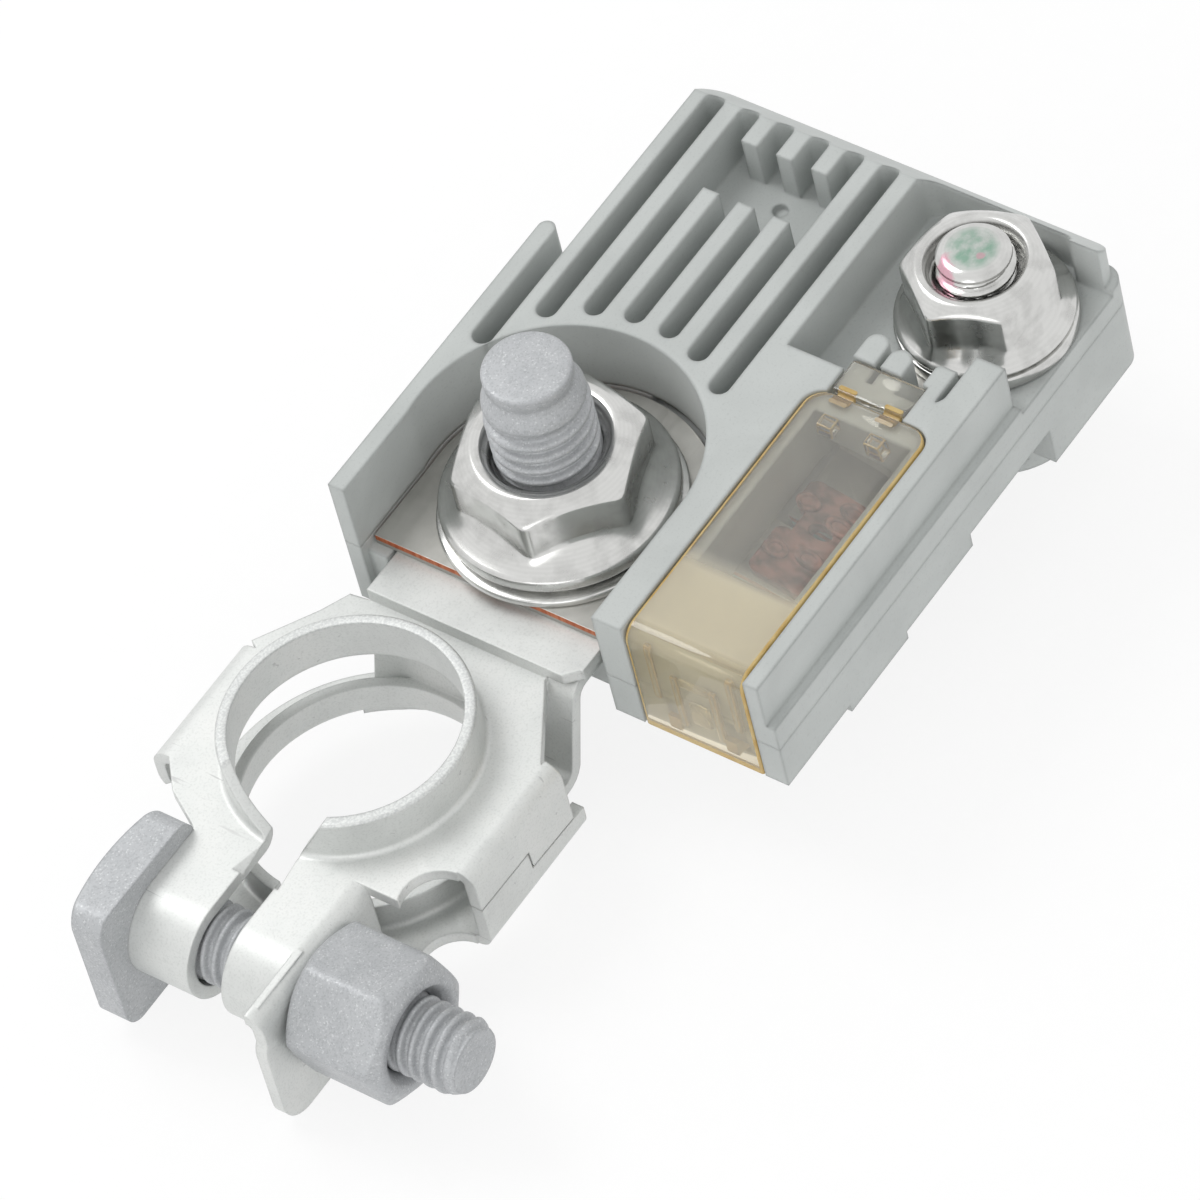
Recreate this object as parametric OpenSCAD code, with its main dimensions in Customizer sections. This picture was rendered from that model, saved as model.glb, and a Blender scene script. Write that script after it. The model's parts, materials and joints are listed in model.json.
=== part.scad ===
// Fused battery terminal clamp. Millimetres, +Z up. Heights below are from the clamp's underside;
// the origin lies on the post bore, in the lower collar's straight wall.

/* [Clamp sheet] */
// Thickness of the clamp's sheet
sheet_t = 1.0; // [0.8:0.05:1.1]
// Height from the underside of the lower plate to the top of the upper plate
clamp_h = 8.4; // [8.2:0.1:9.2]
// Distance from the post bore to the clamp bolt's axis
bolt_reach = 16.0; // [15.5:0.1:17.5]
// Width of the slit between the two ears
slit_w = 3.0; // [2.4:0.1:3.6]
// Place of the slit's middle across the clamp
slit_y = -0.4; // [-0.7:0.1:0]
// Outer face of the ear under the bolt head
head_ear_y = 6.3; // [6:0.1:7]
// Outer face of the nut's seat plate, measured from the bore
seat_y = 7.8; // [7.4:0.1:8.6]
// Width of the nut's seat plate
seat_w = 13.5; // [13:0.1:14.5]
// Reach of the seat plate below the lower plate
seat_drop = 3.8; // [3.4:0.1:4.4]
// Outer face of the folded side wall, measured from the bore
wall_y = 14.0; // [13.8:0.1:14.8]
// Half length of the folded side wall
wall_half = 5.4; // [5:0.1:6]
// Reach of the curled edge opposite the side wall
curl_y = 13.4; // [13.2:0.1:14.2]
// Width of the seam where the folded side wall closes
seam_w = 0.16; // [0.12:0.01:0.22]
// Step up from the upper plate to the tongue
tongue_step = 1.2; // [1.1:0.05:1.4]
// Width of the tongue that carries the main stud
tongue_w = 18.2; // [17:0.1:19]

/* [Post bore] */
// Inner diameter of the upper collar
top_bore_d = 17.0; // [16.6:0.1:17.6]
// Inner diameter of the lower collar
low_bore_d = 18.8; // [18:0.1:19.2]
// Wall of both collars
collar_t = 0.85; // [0.7:0.05:1]
// Rise of the upper collar above the upper plate
top_collar_h = 3.6; // [3:0.1:4]
// Rise of the lower collar above the lower plate
low_collar_h = 2.4; // [2:0.1:2.8]
// Radius of the fold at the foot of the upper collar
collar_fold = 0.45; // [0.3:0.05:0.7]

/* [Clamp bolt] */
// Thread diameter of the clamp bolt
bolt_d = 5.9; // [5.6:0.05:6]
// Length of the shank and thread under the head
bolt_len = 27.0; // [25:0.5:30]
// Side of the head across the clamp
head_w = 11.2; // [10.6:0.1:11.6]
// Height of the head
head_h = 12.0; // [11:0.1:12.4]
// Thickness of the head at its edges
head_edge_t = 2.5; // [2:0.1:3]
// Crown of the head's outer face
head_crown = 0.85; // [0.5:0.05:1.2]
// Width of the clamp nut across its flats
nut_af = 10.0; // [9.6:0.1:10.4]
// Height of the clamp nut
nut_h = 8.2; // [7:0.1:9]

/* [Main stud and nut] */
// Distance from the post bore to the main stud
stud_x = 23.7; // [23:0.1:25]
// Place of the main stud across the clamp
stud_y = -2.3; // [-2.6:0.1:-2]
// Thread diameter of the main stud
stud_d = 7.9; // [7.6:0.05:8]
// Height of the main stud's end above the link plate
stud_rise = 15.7; // [15:0.1:17]
// Length of the lead-in pilot at the stud's end
pilot_len = 3.2; // [2.6:0.1:3.8]
// Diameter of the lead-in pilot
pilot_d = 6.6; // [6.2:0.1:6.8]
// Width of the main nut across its flats
main_af = 13.0; // [12.6:0.1:13.2]
// Height of the main nut
main_h = 6.5; // [6:0.1:7.5]
// Diameter of the main nut's flange
main_flange_d = 17.6; // [17:0.1:18.2]
// Diameter of the cone washer under the main nut
main_washer_d = 18.4; // [17.6:0.1:19]
// Height of the cone washer under the main nut
main_washer_h = 1.2; // [1:0.05:1.4]

/* [Load stud and nut] */
// Distance from the post bore to the load stud
load_x = 50.4; // [50:0.1:50.8]
// Place of the load stud across the housing
load_y = -21.5; // [-21.8:0.1:-21.2]
// Thread diameter of the load stud
load_d = 5.9; // [5.6:0.05:6]
// Height of the load stud's end above the load plate
load_rise = 8.1; // [7.6:0.1:9]
// Width of the load nut across its flats
load_af = 10.0; // [9.6:0.1:10.2]
// Height of the load nut
load_h = 5.6; // [5:0.1:6.5]
// Diameter of the load nut's flange
load_flange_d = 13.2; // [12.8:0.1:13.4]
// Diameter of the cone washer under the load nut
load_washer_d = 13.4; // [13.2:0.1:13.6]
// Height of the cone washer under the load nut
load_washer_h = 1.3; // [1:0.05:1.5]

/* [Conductors] */
// Thickness of the copper plates
plate_t = 0.9; // [0.7:0.05:1]
// Height of the load plate above the link plate
load_lift = 1.9; // [1.6:0.1:2.2]
// Front edge of the link plate
link_x = 15.3; // [14.8:0.1:15.8]
// Radius of the load plate's round end
load_plate_r = 5.8; // [5.4:0.1:6]
// Thickness of the fuse element
element_t = 0.6; // [0.4:0.05:0.7]
// Width of the fuse element's band
element_w = 2.4; // [2:0.1:2.8]

/* [Housing] */
// Height of the housing's top face above the link plate
top_rise = 6.5; // [6.4:0.1:6.9]
// How far the housing's rear face lies behind the load stud
rear_reach = 8; // [8:0.1:9]
// Front face of the housing's arm
arm_x = 13.9; // [13.4:0.1:14.2]
// Outer face of the arm
arm_y = 10.2; // [10.1:0.1:10.8]
// Thickness of the arm
arm_t = 1.4; // [1.2:0.05:1.5]
// Place of the arm's free end
arm_end_x = 41.2; // [38:0.1:44]
// Left face of the ribbed body
body_y = 7.1; // [7:0.1:7.3]
// Right face of the housing
right_y = -28.3; // [-29:0.1:-28.2]
// Radius of the opening around the main stud
well_r = 11.25; // [10.9:0.05:11.3]
// Number of slots between the ribs
slot_n = 6; // [5:1:6]
// Distance from slot to slot
slot_pitch = 3.05; // [2.9:0.01:3.08]
// Width of a slot
slot_w = 1.65; // [1.3:0.05:1.8]
// Depth of the slots
slot_depth = 4.2; // [3:0.1:4.6]
// Floor of the pocket around the load stud, above the link plate
pocket_rise = 1.8; // [1.7:0.05:1.85]

/* [Window] */
// Front face of the window block
win_x = 12.6; // [12.2:0.1:13]
// Length of the clear lid
lid_len = 24.4; // [23:0.1:25]
// Width of the clear lid
lid_w = 10.0; // [9.6:0.1:10.2]
// Left edge of the clear lid
lid_y = -16.2; // [-16.4:0.1:-16]
// Thickness of the clear lid
lid_t = 1.0; // [0.8:0.05:1.2]
// Height of the lid's front leg
lid_leg = 10.6; // [10.3:0.1:10.7]
// Parting of the fuse element's two feet
neck_x = 29.6; // [29:0.1:30]
// Gap between the lid and the housing
lid_gap = 0.15; // [0.12:0.01:0.2]

/* [Fits] */
// Radial clearance between a thread and its nut
thread_fit = 0.05; // [0.03:0.01:0.08]
// Radial clearance of a hole around a stud or bolt
hole_fit = 0.3; // [0.2:0.05:0.4]

/* [Hidden] */
$fn = 96;
eps = 0.01;
over = 1;

// Clamp levels: the curl's centre line is also the clamp bolt's axis
bolt_z = clamp_h / 2;
curl_r = clamp_h / 2;
bend_r = 1.3;
upper_z = clamp_h - sheet_t;
tongue_z = upper_z + tongue_step;
tail_z = tongue_z - sheet_t;
link_z = tongue_z + sheet_t;
link_top = link_z + plate_t;
top_z = link_top + top_rise;
pocket_floor = link_top + pocket_rise;
load_top = link_top + load_lift;
load_bottom = load_top - plate_t;
slit_left = slit_y + slit_w / 2;
slit_right = slit_y - slit_w / 2;

// Collar folds
top_r = top_bore_d / 2;
low_r = low_bore_d / 2;
low_fold = 0.5;
origin_z = sheet_t + low_fold + 0.1;
top_fold_r = top_r + collar_t + collar_fold;
low_fold_r = low_r + collar_t + low_fold;
low_ring_r = low_r + 3.2;

// Upper plate outline
ear_back_x = -10.6;
notch_x = -8.3;
notch_r = 2.8;
notch_y = -(wall_y - 1.1);
fold_y = -(seat_y - 1.5);
seat_x0 = -(bolt_reach + 0.51 * seat_w);
seat_x1 = seat_x0 + seat_w;
seat_round = 2.5;
curl_x0 = -6.6;
curl_x1 = 4.2;
curl_edge_r = 1.7;
curl_drop_z = clamp_h - 3.0;
ear_step = 8.0;
joggle_x = 11.5;
shoulder_y = 6.8;
tongue_y0 = stud_y - tongue_w / 2;
tongue_y1 = stud_y + tongue_w / 2;
tongue_end_x = stud_x + 7.2;
tail_x = 8.6;
tail_rise_x = 12.9;
tail_inset = 0.4;

// Clamp bolt
bolt_hole_r = bolt_d / 2 + hole_fit;
head_x = -bolt_reach - 0.6;
head_z = bolt_z - 0.2;
head_corner = 1.6;

// Main stud stack
stud_r = stud_d / 2;
stud_head_r = 5.4;
stud_head_h = 2.2;
washer_flat = 2.0;
main_nut_z = link_top + main_washer_h;
stud_top = link_top + stud_rise;
main_rim = 1.2;
main_washer_rim = 0.6;

// Load stud stack
load_r = load_d / 2;
load_head_r = 4.4;
load_head_h = 2.0;
load_rim = 0.6;
load_washer_rim = 1.05;
load_nut_z = load_top + load_washer_h;
load_stud_top = load_top + load_rise;

// Housing levels and places
part_z = link_top;
low_z = tail_z - 3.5;
mid_low_z = link_z - 3.2;
pad_low_z = link_z - 3.95;
prong_low_z = link_z - 1.9;
boss_low_z = low_z - 2.1;
win_low_z = top_z - lid_leg;
slot_floor = top_z - slot_depth;
ledge_z = part_z + 2.3;
side_step = 0.7;
rear_slope = 2.1;
well_front_y0 = stud_y - well_r;
well_front_y1 = arm_y - arm_t;
ring_r = well_r + 1.05;
slot0_y = (body_y + well_front_y1) / 2;
slot0_w = well_front_y1 - body_y;
slot1_y = 5.15;
recess_x0 = load_x - 1.6;
rear_x = load_x + rear_reach;
recess_x1 = rear_x - 4.7;
rear_wall = 1.0;
slot_end_x = rear_x - rear_wall - 0.7;
pocket_y = slot1_y - (slot_n - 1) * slot_pitch - slot_w / 2 - 1.45;
block_y = well_front_y0;
hinge_x = win_x + lid_len;
hinge_axis_x = hinge_x + lid_gap;
tab_len = 3.4;
block_rear_x = hinge_x + tab_len;
prong_x = load_x - 6;
prong_y0 = right_y + side_step;
prong_y1 = -23.1;
prong_slot_y = -25.4;
prong_slot_w = 1.4;
pad_x = 20.2;
pad_len = 7.6;
mid_x = 36.4;
rear_low_x = load_x - 3.6;
boss_r = 5.65;
post_y = load_y - 3.7;
end_rib_w = 1.8;
end_rib_y0 = lid_y - 1.9;
end_rib_y1 = lid_y - 4.2;

// Window
plate_gap = 0.3;
strip_x0 = hinge_x + 2.2;
lid_y1 = lid_y - lid_w;
lid_under = top_z - lid_t;
rim_w = 1.0;
cavity_x0 = win_x + 7.9;
cavity_x1 = hinge_x - 1.4;
cavity_y0 = lid_y1 + rim_w;
cavity_y1 = lid_y - rim_w;
cavity_z = link_z - 1.4;
shelf_z = lid_under - 0.6;
shelf_x0 = win_x + lid_t + 1.2;
tab_y0 = lid_y - 7.3;
tab_y1 = lid_y - 1.1;
lug_h = 1.2;
strap_r = 0.85;
lid_corner = 1.5;
strap_w = 1.5;
strap_ys = [lid_y - 3.1, lid_y - 7.0];
lug_reach = 0.45;

// Fuse element and its rivets
neck_gap = 0.7;
foot_x0 = neck_x - 5.6;
foot_x1 = neck_x + 3.8;
foot_w = 4.6;
foot_y0 = -22.2;
foot_y1 = foot_y0 + foot_w;
rivet_r = 0.4;
rivet_head_r = 0.72;
rivet_head_h = 0.35;
bridge_y0 = foot_y0 + 1.2;
bridge_hole_r = 0.6;
rivets = [[foot_x0 + 3.2, foot_y0 + 1.9], [foot_x1 - 2.8, foot_y0 + 1.7], [foot_x1 - 1.3, foot_y0 + 1.5],
    [foot_x0 + 2.7, foot_y0 + 3.6], [foot_x1 - 2.2, foot_y0 + 3.7]];

// Points along an arc, for outlines with round stretches
function arc(cx, cy, rx, ry, a0, a1, n) =
    [for (i = [0:n]) let (a = a0 + (a1 - a0) * i / n) [cx + rx * cos(a), cy + ry * sin(a)]];

// Heights from the clamp's underside, moved to the origin
module at_origin() {
    translate([0, 0, -origin_z]) children();
}

// A flat slab whose outline is drawn in plan
module slab(z0, z1) {
    translate([0, 0, z0]) linear_extrude(z1 - z0) children();
}

// A prism whose outline is drawn in X and Z and which runs across the clamp
module across(y0, y1) {
    translate([0, y1, 0]) rotate([90, 0, 0]) linear_extrude(y1 - y0) children();
}

// A prism whose outline is drawn in Y and Z and which runs along the clamp
module along(x0, x1) {
    translate([x0, 0, 0]) rotate([90, 0, 90]) linear_extrude(x1 - x0) children();
}

// A rectangle between two corners
module box2(x0, x1, y0, y1) {
    translate([x0, y0]) square([x1 - x0, y1 - y0]);
}

// A box between two corners
module box(x0, x1, y0, y1, z0, z1) {
    translate([x0, y0, z0]) cube([x1 - x0, y1 - y0, z1 - z0]);
}

// A long hole with round ends along X
module slot2(x0, x1, y, w) {
    box2(x0 + w / 2, x1 - w / 2, y - w / 2, y + w / 2);
    translate([x0 + w / 2, y]) circle(w / 2);
    translate([x1 - w / 2, y]) circle(w / 2);
}

// A rectangle with round corners
module round2(x0, x1, y0, y1, r) {
    box2(x0 + r, x1 - r, y0, y1);
    box2(x0, x1, y0 + r, y1 - r);
    for (x = [x0 + r, x1 - r], y = [y0 + r, y1 - r]) translate([x, y]) circle(r);
}

// A hexagonal nut that stands on z = 0, chamfered at both ends
module hex_nut(af, h, hole_r, low_bevel) {
    corner_r = af / sqrt(3);
    bevel = (corner_r - af / 2) * 0.6;
    difference() {
        intersection() {
            cylinder(r = corner_r, h = h, $fn = 6);
            rotate_extrude() polygon([[0, 0], [af / 2 - 0.2, 0], [corner_r, low_bevel * bevel + eps],
                [corner_r, h - bevel], [af / 2 - 0.2, h], [0, h]]);
        }
        translate([0, 0, -over]) cylinder(r = hole_r, h = h + 2 * over);
        translate([0, 0, h - 0.9]) cylinder(r1 = hole_r - eps, r2 = hole_r + 0.75, h = 0.9 + eps);
    }
}

// A hexagonal nut with a flange that is thin at its rim
module flange_nut(af, h, flange_r, hole_r, rim) {
    difference() {
        union() {
            hex_nut(af, h, hole_r, 0);
            rotate_extrude() polygon([[hole_r + 0.2, 0], [flange_r - 0.2, 0], [flange_r, 0.2],
                [flange_r, rim - 0.2], [flange_r - 0.3, rim],
                [af / 2 - 0.2, rim + 1.5], [hole_r + 0.2, rim + 1.5]]);
        }
        translate([0, 0, -over]) cylinder(r = hole_r, h = h + 2 * over);
    }
}

// A dished spring washer that stands on z = 0, flat on top around its hole
module cone_washer(r, h, hole_r, rim) {
    rotate_extrude() polygon([[hole_r, h * 0.35], [r - 0.4, 0], [r, 0], [r, rim],
        [hole_r + washer_flat, h], [hole_r, h]]);
}

// Outline of the upper plate, from the head ear round to the seat plate
module upper_outline() {
    difference() {
        polygon([[-bolt_reach, head_ear_y], [-bolt_reach, fold_y], [seat_x1, fold_y],
            [seat_x1, notch_y + notch_r - 0.3], [notch_x, notch_y], [-wall_half, -(wall_y - bend_r)],
            [wall_half - 0.4, -(wall_y - bend_r)], [joggle_x - 0.2, stud_y - 6.4], [joggle_x, stud_y - 6],
            [joggle_x, shoulder_y], [joggle_x - 0.2, shoulder_y + 1.6], [joggle_x - 2.4, shoulder_y + 2.7],
            [curl_x1 + 0.4, curl_y - 1], [curl_x1, curl_y - curl_edge_r], [curl_x0, curl_y - curl_edge_r],
            [curl_x0 - 2.3, curl_y - 3.7], [ear_back_x, head_ear_y + 0.5], [ear_back_x - 0.4, head_ear_y]]);
        translate([notch_x, notch_y]) circle(notch_r);
    }
}

// Outline of the lower plate, which is narrower beyond the bore
module lower_outline() {
    difference() {
        union() {
            circle(low_ring_r);
            polygon([[-bolt_reach, head_ear_y], [-bolt_reach, fold_y], [seat_x1, fold_y],
                [seat_x1, notch_y + notch_r - 0.3], [notch_x, notch_y], [-wall_half, -(wall_y - bend_r)],
                [wall_half + 1.2, -(wall_y - bend_r)], [tail_x, tongue_y0 + 1], [tail_x, shoulder_y],
                [0, low_ring_r - 1], [ear_back_x, head_ear_y]]);
        }
        translate([notch_x, notch_y]) circle(notch_r);
        box2(-low_ring_r - 1, seat_x1 + 0.2, fold_y - ear_step, fold_y);
    }
}

// Upper collar, drawn up from the plate with a wide fold
module upper_collar() {
    c = top_fold_r;
    z = clamp_h + collar_fold;
    rotate_extrude() polygon(concat(
        [[top_r, clamp_h + top_collar_h]],
        arc(c, z, c - top_r, z - upper_z, 180, 270, 6),
        [[c + 0.3, upper_z], [c + 0.3, clamp_h]],
        arc(c, z, collar_fold, collar_fold, 270, 180, 6),
        [[top_r + collar_t, clamp_h + top_collar_h - 0.15], [top_r + collar_t - 0.15, clamp_h + top_collar_h]]));
}

// Lower collar, drawn up inside the clamp
module lower_collar() {
    c = low_fold_r;
    z = sheet_t + low_fold;
    rotate_extrude() polygon(concat(
        [[low_r, sheet_t + low_collar_h]],
        arc(c, z, c - low_r, z, 180, 270, 6),
        [[c + 0.3, 0], [c + 0.3, sheet_t]],
        arc(c, z, low_fold, low_fold, 270, 180, 4),
        [[low_r + collar_t, sheet_t + low_collar_h]]));
}

// Half round of sheet that joins both plates at the ends of the ears
module ear_curl() {
    across(-seat_y + sheet_t - eps, head_ear_y) difference() {
        translate([-bolt_reach, bolt_z]) circle(curl_r);
        translate([-bolt_reach, bolt_z]) circle(curl_r - sheet_t);
        box2(-bolt_reach, 0, -over, clamp_h + over);
    }
}

// Plate that hangs in front of the nut's ear and takes the clamp nut
module seat_plate() {
    y1 = -seat_y + sheet_t;
    z1 = clamp_h - 1.5;
    difference() {
        union() {
            across(-seat_y, y1) {
                round2(seat_x0, seat_x1, -seat_drop, z1, seat_round);
                box2(seat_x0 + 0.4, seat_x1, z1 - 3, z1);
            }
            along(seat_x0 + 0.4, seat_x1) difference() {
                translate([fold_y, z1]) circle(1.5);
                translate([fold_y, z1]) circle(1.5 - sheet_t);
                box2(fold_y, fold_y + 2, z1 - 2, z1 + 2);
                box2(fold_y - 2, fold_y + 2, z1 - 2, z1);
            }
            across(fold_y - 0.6, fold_y) polygon([[-bolt_reach, clamp_h], [seat_x0 + 1.4, clamp_h],
                [seat_x0 + 1.4, z1], [-bolt_reach, z1]]);
        }
        across(-seat_y - over, y1 + over) translate([-bolt_reach, bolt_z]) circle(bolt_hole_r);
    }
}

// Side wall folded from both plates, with the stepped seam where its halves meet
module side_wall() {
    y = wall_y - bend_r;
    difference() {
        along(-wall_half, wall_half + 1.2) difference() {
            union() {
                box2(-wall_y, -y, bend_r, clamp_h - bend_r);
                translate([-y, bend_r]) circle(bend_r);
                translate([-y, clamp_h - bend_r]) circle(bend_r);
            }
            translate([-y, bend_r]) circle(bend_r - sheet_t);
            translate([-y, clamp_h - bend_r]) circle(bend_r - sheet_t);
            box2(-wall_y + sheet_t, -y + over, bend_r, clamp_h - bend_r);
            box2(-y, -y + bend_r + over, -over, clamp_h + over);
        }
        across(-wall_y - over, -y + over) polygon([[-wall_half - over, bolt_z + 0.5], [0.4, bolt_z + 0.3],
            [0.5, bolt_z - 1.4], [wall_half + 3, bolt_z - 1.8], [wall_half + 3, bolt_z - 1.8 - seam_w],
            [0.5 - seam_w, bolt_z - 1.4 - seam_w], [0.4 - seam_w, bolt_z + 0.3 - seam_w],
            [-wall_half - over, bolt_z + 0.5 - seam_w]]);
        box(wall_half, wall_half + 3, -wall_y - over, -y + over, bolt_z - 1.8, clamp_h + over);
    }
}

// Edge of the upper plate that is curled down opposite the side wall
module curled_edge() {
    y = curl_y - curl_edge_r;
    z = clamp_h - curl_edge_r;
    r = curl_edge_r - sheet_t;
    along(curl_x0, curl_x1) polygon(concat(
        [[y - 0.2, clamp_h]], arc(y, z, curl_edge_r, curl_edge_r, 90, 0, 6),
        arc(y, curl_drop_z, curl_edge_r, curl_edge_r, 0, -40, 4),
        arc(y, curl_drop_z, r, r, -40, 0, 4), arc(y, z, r, r, 0, 90, 6), [[y - 0.2, upper_z]]));
}

// Stepped tongue of the upper plate and the risen tail of the lower plate, both around the main stud
module tongue() {
    step_y0 = tongue_y0 + 2.7;
    across(step_y0, shoulder_y) polygon([[joggle_x - 1, upper_z], [joggle_x + 0.1, upper_z],
        [joggle_x + 0.9, tongue_z], [joggle_x + 2, tongue_z], [joggle_x + 2, link_z], [joggle_x, link_z],
        [joggle_x, clamp_h], [joggle_x - 1, clamp_h]]);
    slab(tongue_z, link_z) {
        box2(joggle_x + 1, stud_x, tongue_y0, tongue_y1);
        polygon([[joggle_x, step_y0], [joggle_x, tongue_y0 + 1.2], [joggle_x + 1.2, tongue_y0],
            [joggle_x + 2, tongue_y0], [joggle_x + 2, step_y0]]);
        translate([stud_x, stud_y]) intersection() {
            circle(tongue_w / 2);
            box2(-over, tongue_end_x - stud_x, -tongue_w, tongue_w);
        }
    }
}

// Risen tail of the lower plate
module tail() {
    difference() {
        intersection() {
            across(tongue_y0 + tail_inset, tongue_y1 - tail_inset) polygon(concat(
                [[tail_x - 1.4, 0]], arc(tail_x - 0.2, 2, 2, 2, -90, -25, 4),
                arc(tail_rise_x, tail_z - 1, 1, 1, 155, 90, 4),
                [[tongue_end_x - 1, tail_z], [tongue_end_x - 1, tongue_z]],
                arc(tail_rise_x, tail_z - 1, 2, 2, 90, 155, 4),
                arc(tail_x - 0.2, 2, 1, 1, -25, -90, 4), [[tail_x - 1.4, sheet_t]]));
            slab(-over, link_z) {
                box2(0, stud_x, tongue_y0, tongue_y1);
                translate([stud_x, stud_y]) circle(tongue_w / 2 - tail_inset);
            }
        }
        box(tail_x - 2, tail_rise_x + 1, shoulder_y, tongue_y1 + over, -over, tail_z - 0.6);
        translate([0, 0, -over]) cylinder(r = low_r + collar_t / 2, h = sheet_t + low_collar_h + over);
    }
}

// The clamp: one sheet, cut, drawn up around the post and folded at the ears
module clamp_body() {
    color("gainsboro") at_origin() difference() {
        union() {
            slab(upper_z, clamp_h) difference() {
                upper_outline();
                circle(top_fold_r);
            }
            slab(0, sheet_t) difference() {
                lower_outline();
                circle(low_fold_r);
            }
            upper_collar();
            lower_collar();
            ear_curl();
            seat_plate();
            side_wall();
            curled_edge();
            tongue();
            tail();
        }
        box(-bolt_reach - curl_r - over, -low_r + 2, slit_right, slit_left, -over, clamp_h + top_collar_h + over);
        translate([-top_r, slit_left, clamp_h + 0.3]) rotate([0, -12, 0]) rotate([38, 0, 0])
            translate([-4, -1.5, 0]) cube([6.6, 8, 8]);
        translate([-top_r, slit_right, clamp_h + 0.3]) rotate([0, -12, 0]) rotate([-58, 0, 0])
            translate([-4, -6.5, 0]) cube([6.6, 8, 8]);
        translate([stud_x, stud_y, 0]) cylinder(r = stud_r + hole_fit, h = link_z + over);
    }
}

// Clamp bolt with a broad, crowned head that bears on the ear's edge
module clamp_bolt() {
    crown_r = (head_w * head_w / 4 + head_crown * head_crown) / (2 * head_crown);
    y1 = head_ear_y + head_edge_t + head_crown;
    color("darkgray") at_origin() {
        difference() {
            translate([0, y1, 0]) rotate([90, 0, 0]) linear_extrude(y1 - head_ear_y)
                round2(head_x - head_w / 2, head_x + head_w / 2, head_z - head_h / 2, head_z + head_h / 2,
                    head_corner);
            translate([0, 0, head_z - head_h]) linear_extrude(2 * head_h) difference() {
                box2(head_x - head_w, head_x + head_w, y1 - 2, y1 + over);
                translate([head_x, y1 - crown_r]) circle(crown_r);
            }
        }
        translate([-bolt_reach, head_ear_y + eps, bolt_z]) rotate([90, 0, 0]) {
            cylinder(r = bolt_d / 2, h = bolt_len - 1 + eps);
            translate([0, 0, bolt_len - 1]) cylinder(r1 = bolt_d / 2, r2 = bolt_d / 2 - 0.8, h = 1);
        }
    }
}

// Tall hexagonal nut on the seat plate
module clamp_nut() {
    color("darkgray") at_origin() translate([-bolt_reach, -seat_y, bolt_z]) rotate([90, 0, 0]) rotate([0, 0, -12])
        hex_nut(nut_af, nut_h, bolt_d / 2 + thread_fit, 1);
}

// Main stud with its pilot end, held by its head under the clamp's two tongues
module main_stud() {
    z0 = tail_z - stud_head_h;
    pilot_r = pilot_d / 2;
    z_neck = stud_top - pilot_len;
    color("silver") at_origin() translate([stud_x, stud_y, 0]) rotate_extrude() polygon([[0, z0], [stud_head_r, z0],
        [stud_head_r, tail_z], [stud_r, tail_z], [stud_r, z_neck - 1.4], [pilot_r, z_neck],
        [pilot_r, stud_top - 0.7], [pilot_r - 0.6, stud_top], [0, stud_top]]);
}

// Cone washer under the main nut
module main_washer() {
    color("silver") at_origin() translate([stud_x, stud_y, link_top])
        cone_washer(main_washer_d / 2, main_washer_h, stud_r + hole_fit, main_washer_rim);
}

// Flange nut on the main stud
module main_nut() {
    color("silver") at_origin() translate([stud_x, stud_y, main_nut_z]) rotate([0, 0, 20])
        flange_nut(main_af, main_h, main_flange_d / 2, stud_r + thread_fit, main_rim);
}

// Holes for the rivets that join the fuse element to both plates
module rivet_holes(z0, z1) {
    for (p = rivets) translate([p[0], p[1], z0]) cylinder(r = rivet_r + thread_fit, h = z1 - z0);
}

// Tinned copper plate under the main nut, with the foot that reaches into the window
module link_plate() {
    well = well_r - 0.3;
    color("peru") at_origin() difference() {
        slab(link_z, link_top) {
            intersection() {
                translate([stud_x, stud_y]) circle(well);
                box2(link_x, stud_x + well, stud_y - well, stud_y + well);
            }
            box2(link_x, stud_x, stud_y - well, well_front_y1 - 0.2);
            box2(foot_x0, neck_x - neck_gap / 2, foot_y0, stud_y);
        }
        translate([stud_x, stud_y, link_z - over]) cylinder(r = stud_r + hole_fit, h = plate_t + 2 * over);
        rivet_holes(link_z - over, link_top + over);
    }
}

// Fuse element: two pads joined by a narrow bridge with a hole
module fuse_element() {
    color("rosybrown") at_origin() difference() {
        slab(link_top, link_top + element_t) {
            round2(foot_x0 + 0.4, neck_x - 0.9, foot_y0 + 0.3, foot_y1 - 0.2, 0.6);
            round2(neck_x + 0.9, foot_x1 - 0.2, foot_y0 + 0.3, foot_y1 - 0.2, 0.6);
            box2(neck_x - 2, neck_x + 2, bridge_y0, bridge_y0 + element_w);
        }
        translate([neck_x, bridge_y0 + element_w / 2, link_top - over])
            cylinder(r = bridge_hole_r, h = element_t + 2 * over);
        rivet_holes(link_top - over, link_top + element_t + over);
    }
}

// Rivets of the fuse element, with flat heads above it
module element_rivets() {
    z = link_top + element_t;
    color("silver") at_origin() for (p = rivets) translate([p[0], p[1], 0]) rotate_extrude() polygon([[0, link_z],
        [rivet_r, link_z], [rivet_r, z], [rivet_head_r, z], [rivet_head_r, z + rivet_head_h * 0.6],
        [rivet_head_r - 0.2, z + rivet_head_h], [0, z + rivet_head_h]]);
}

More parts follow.
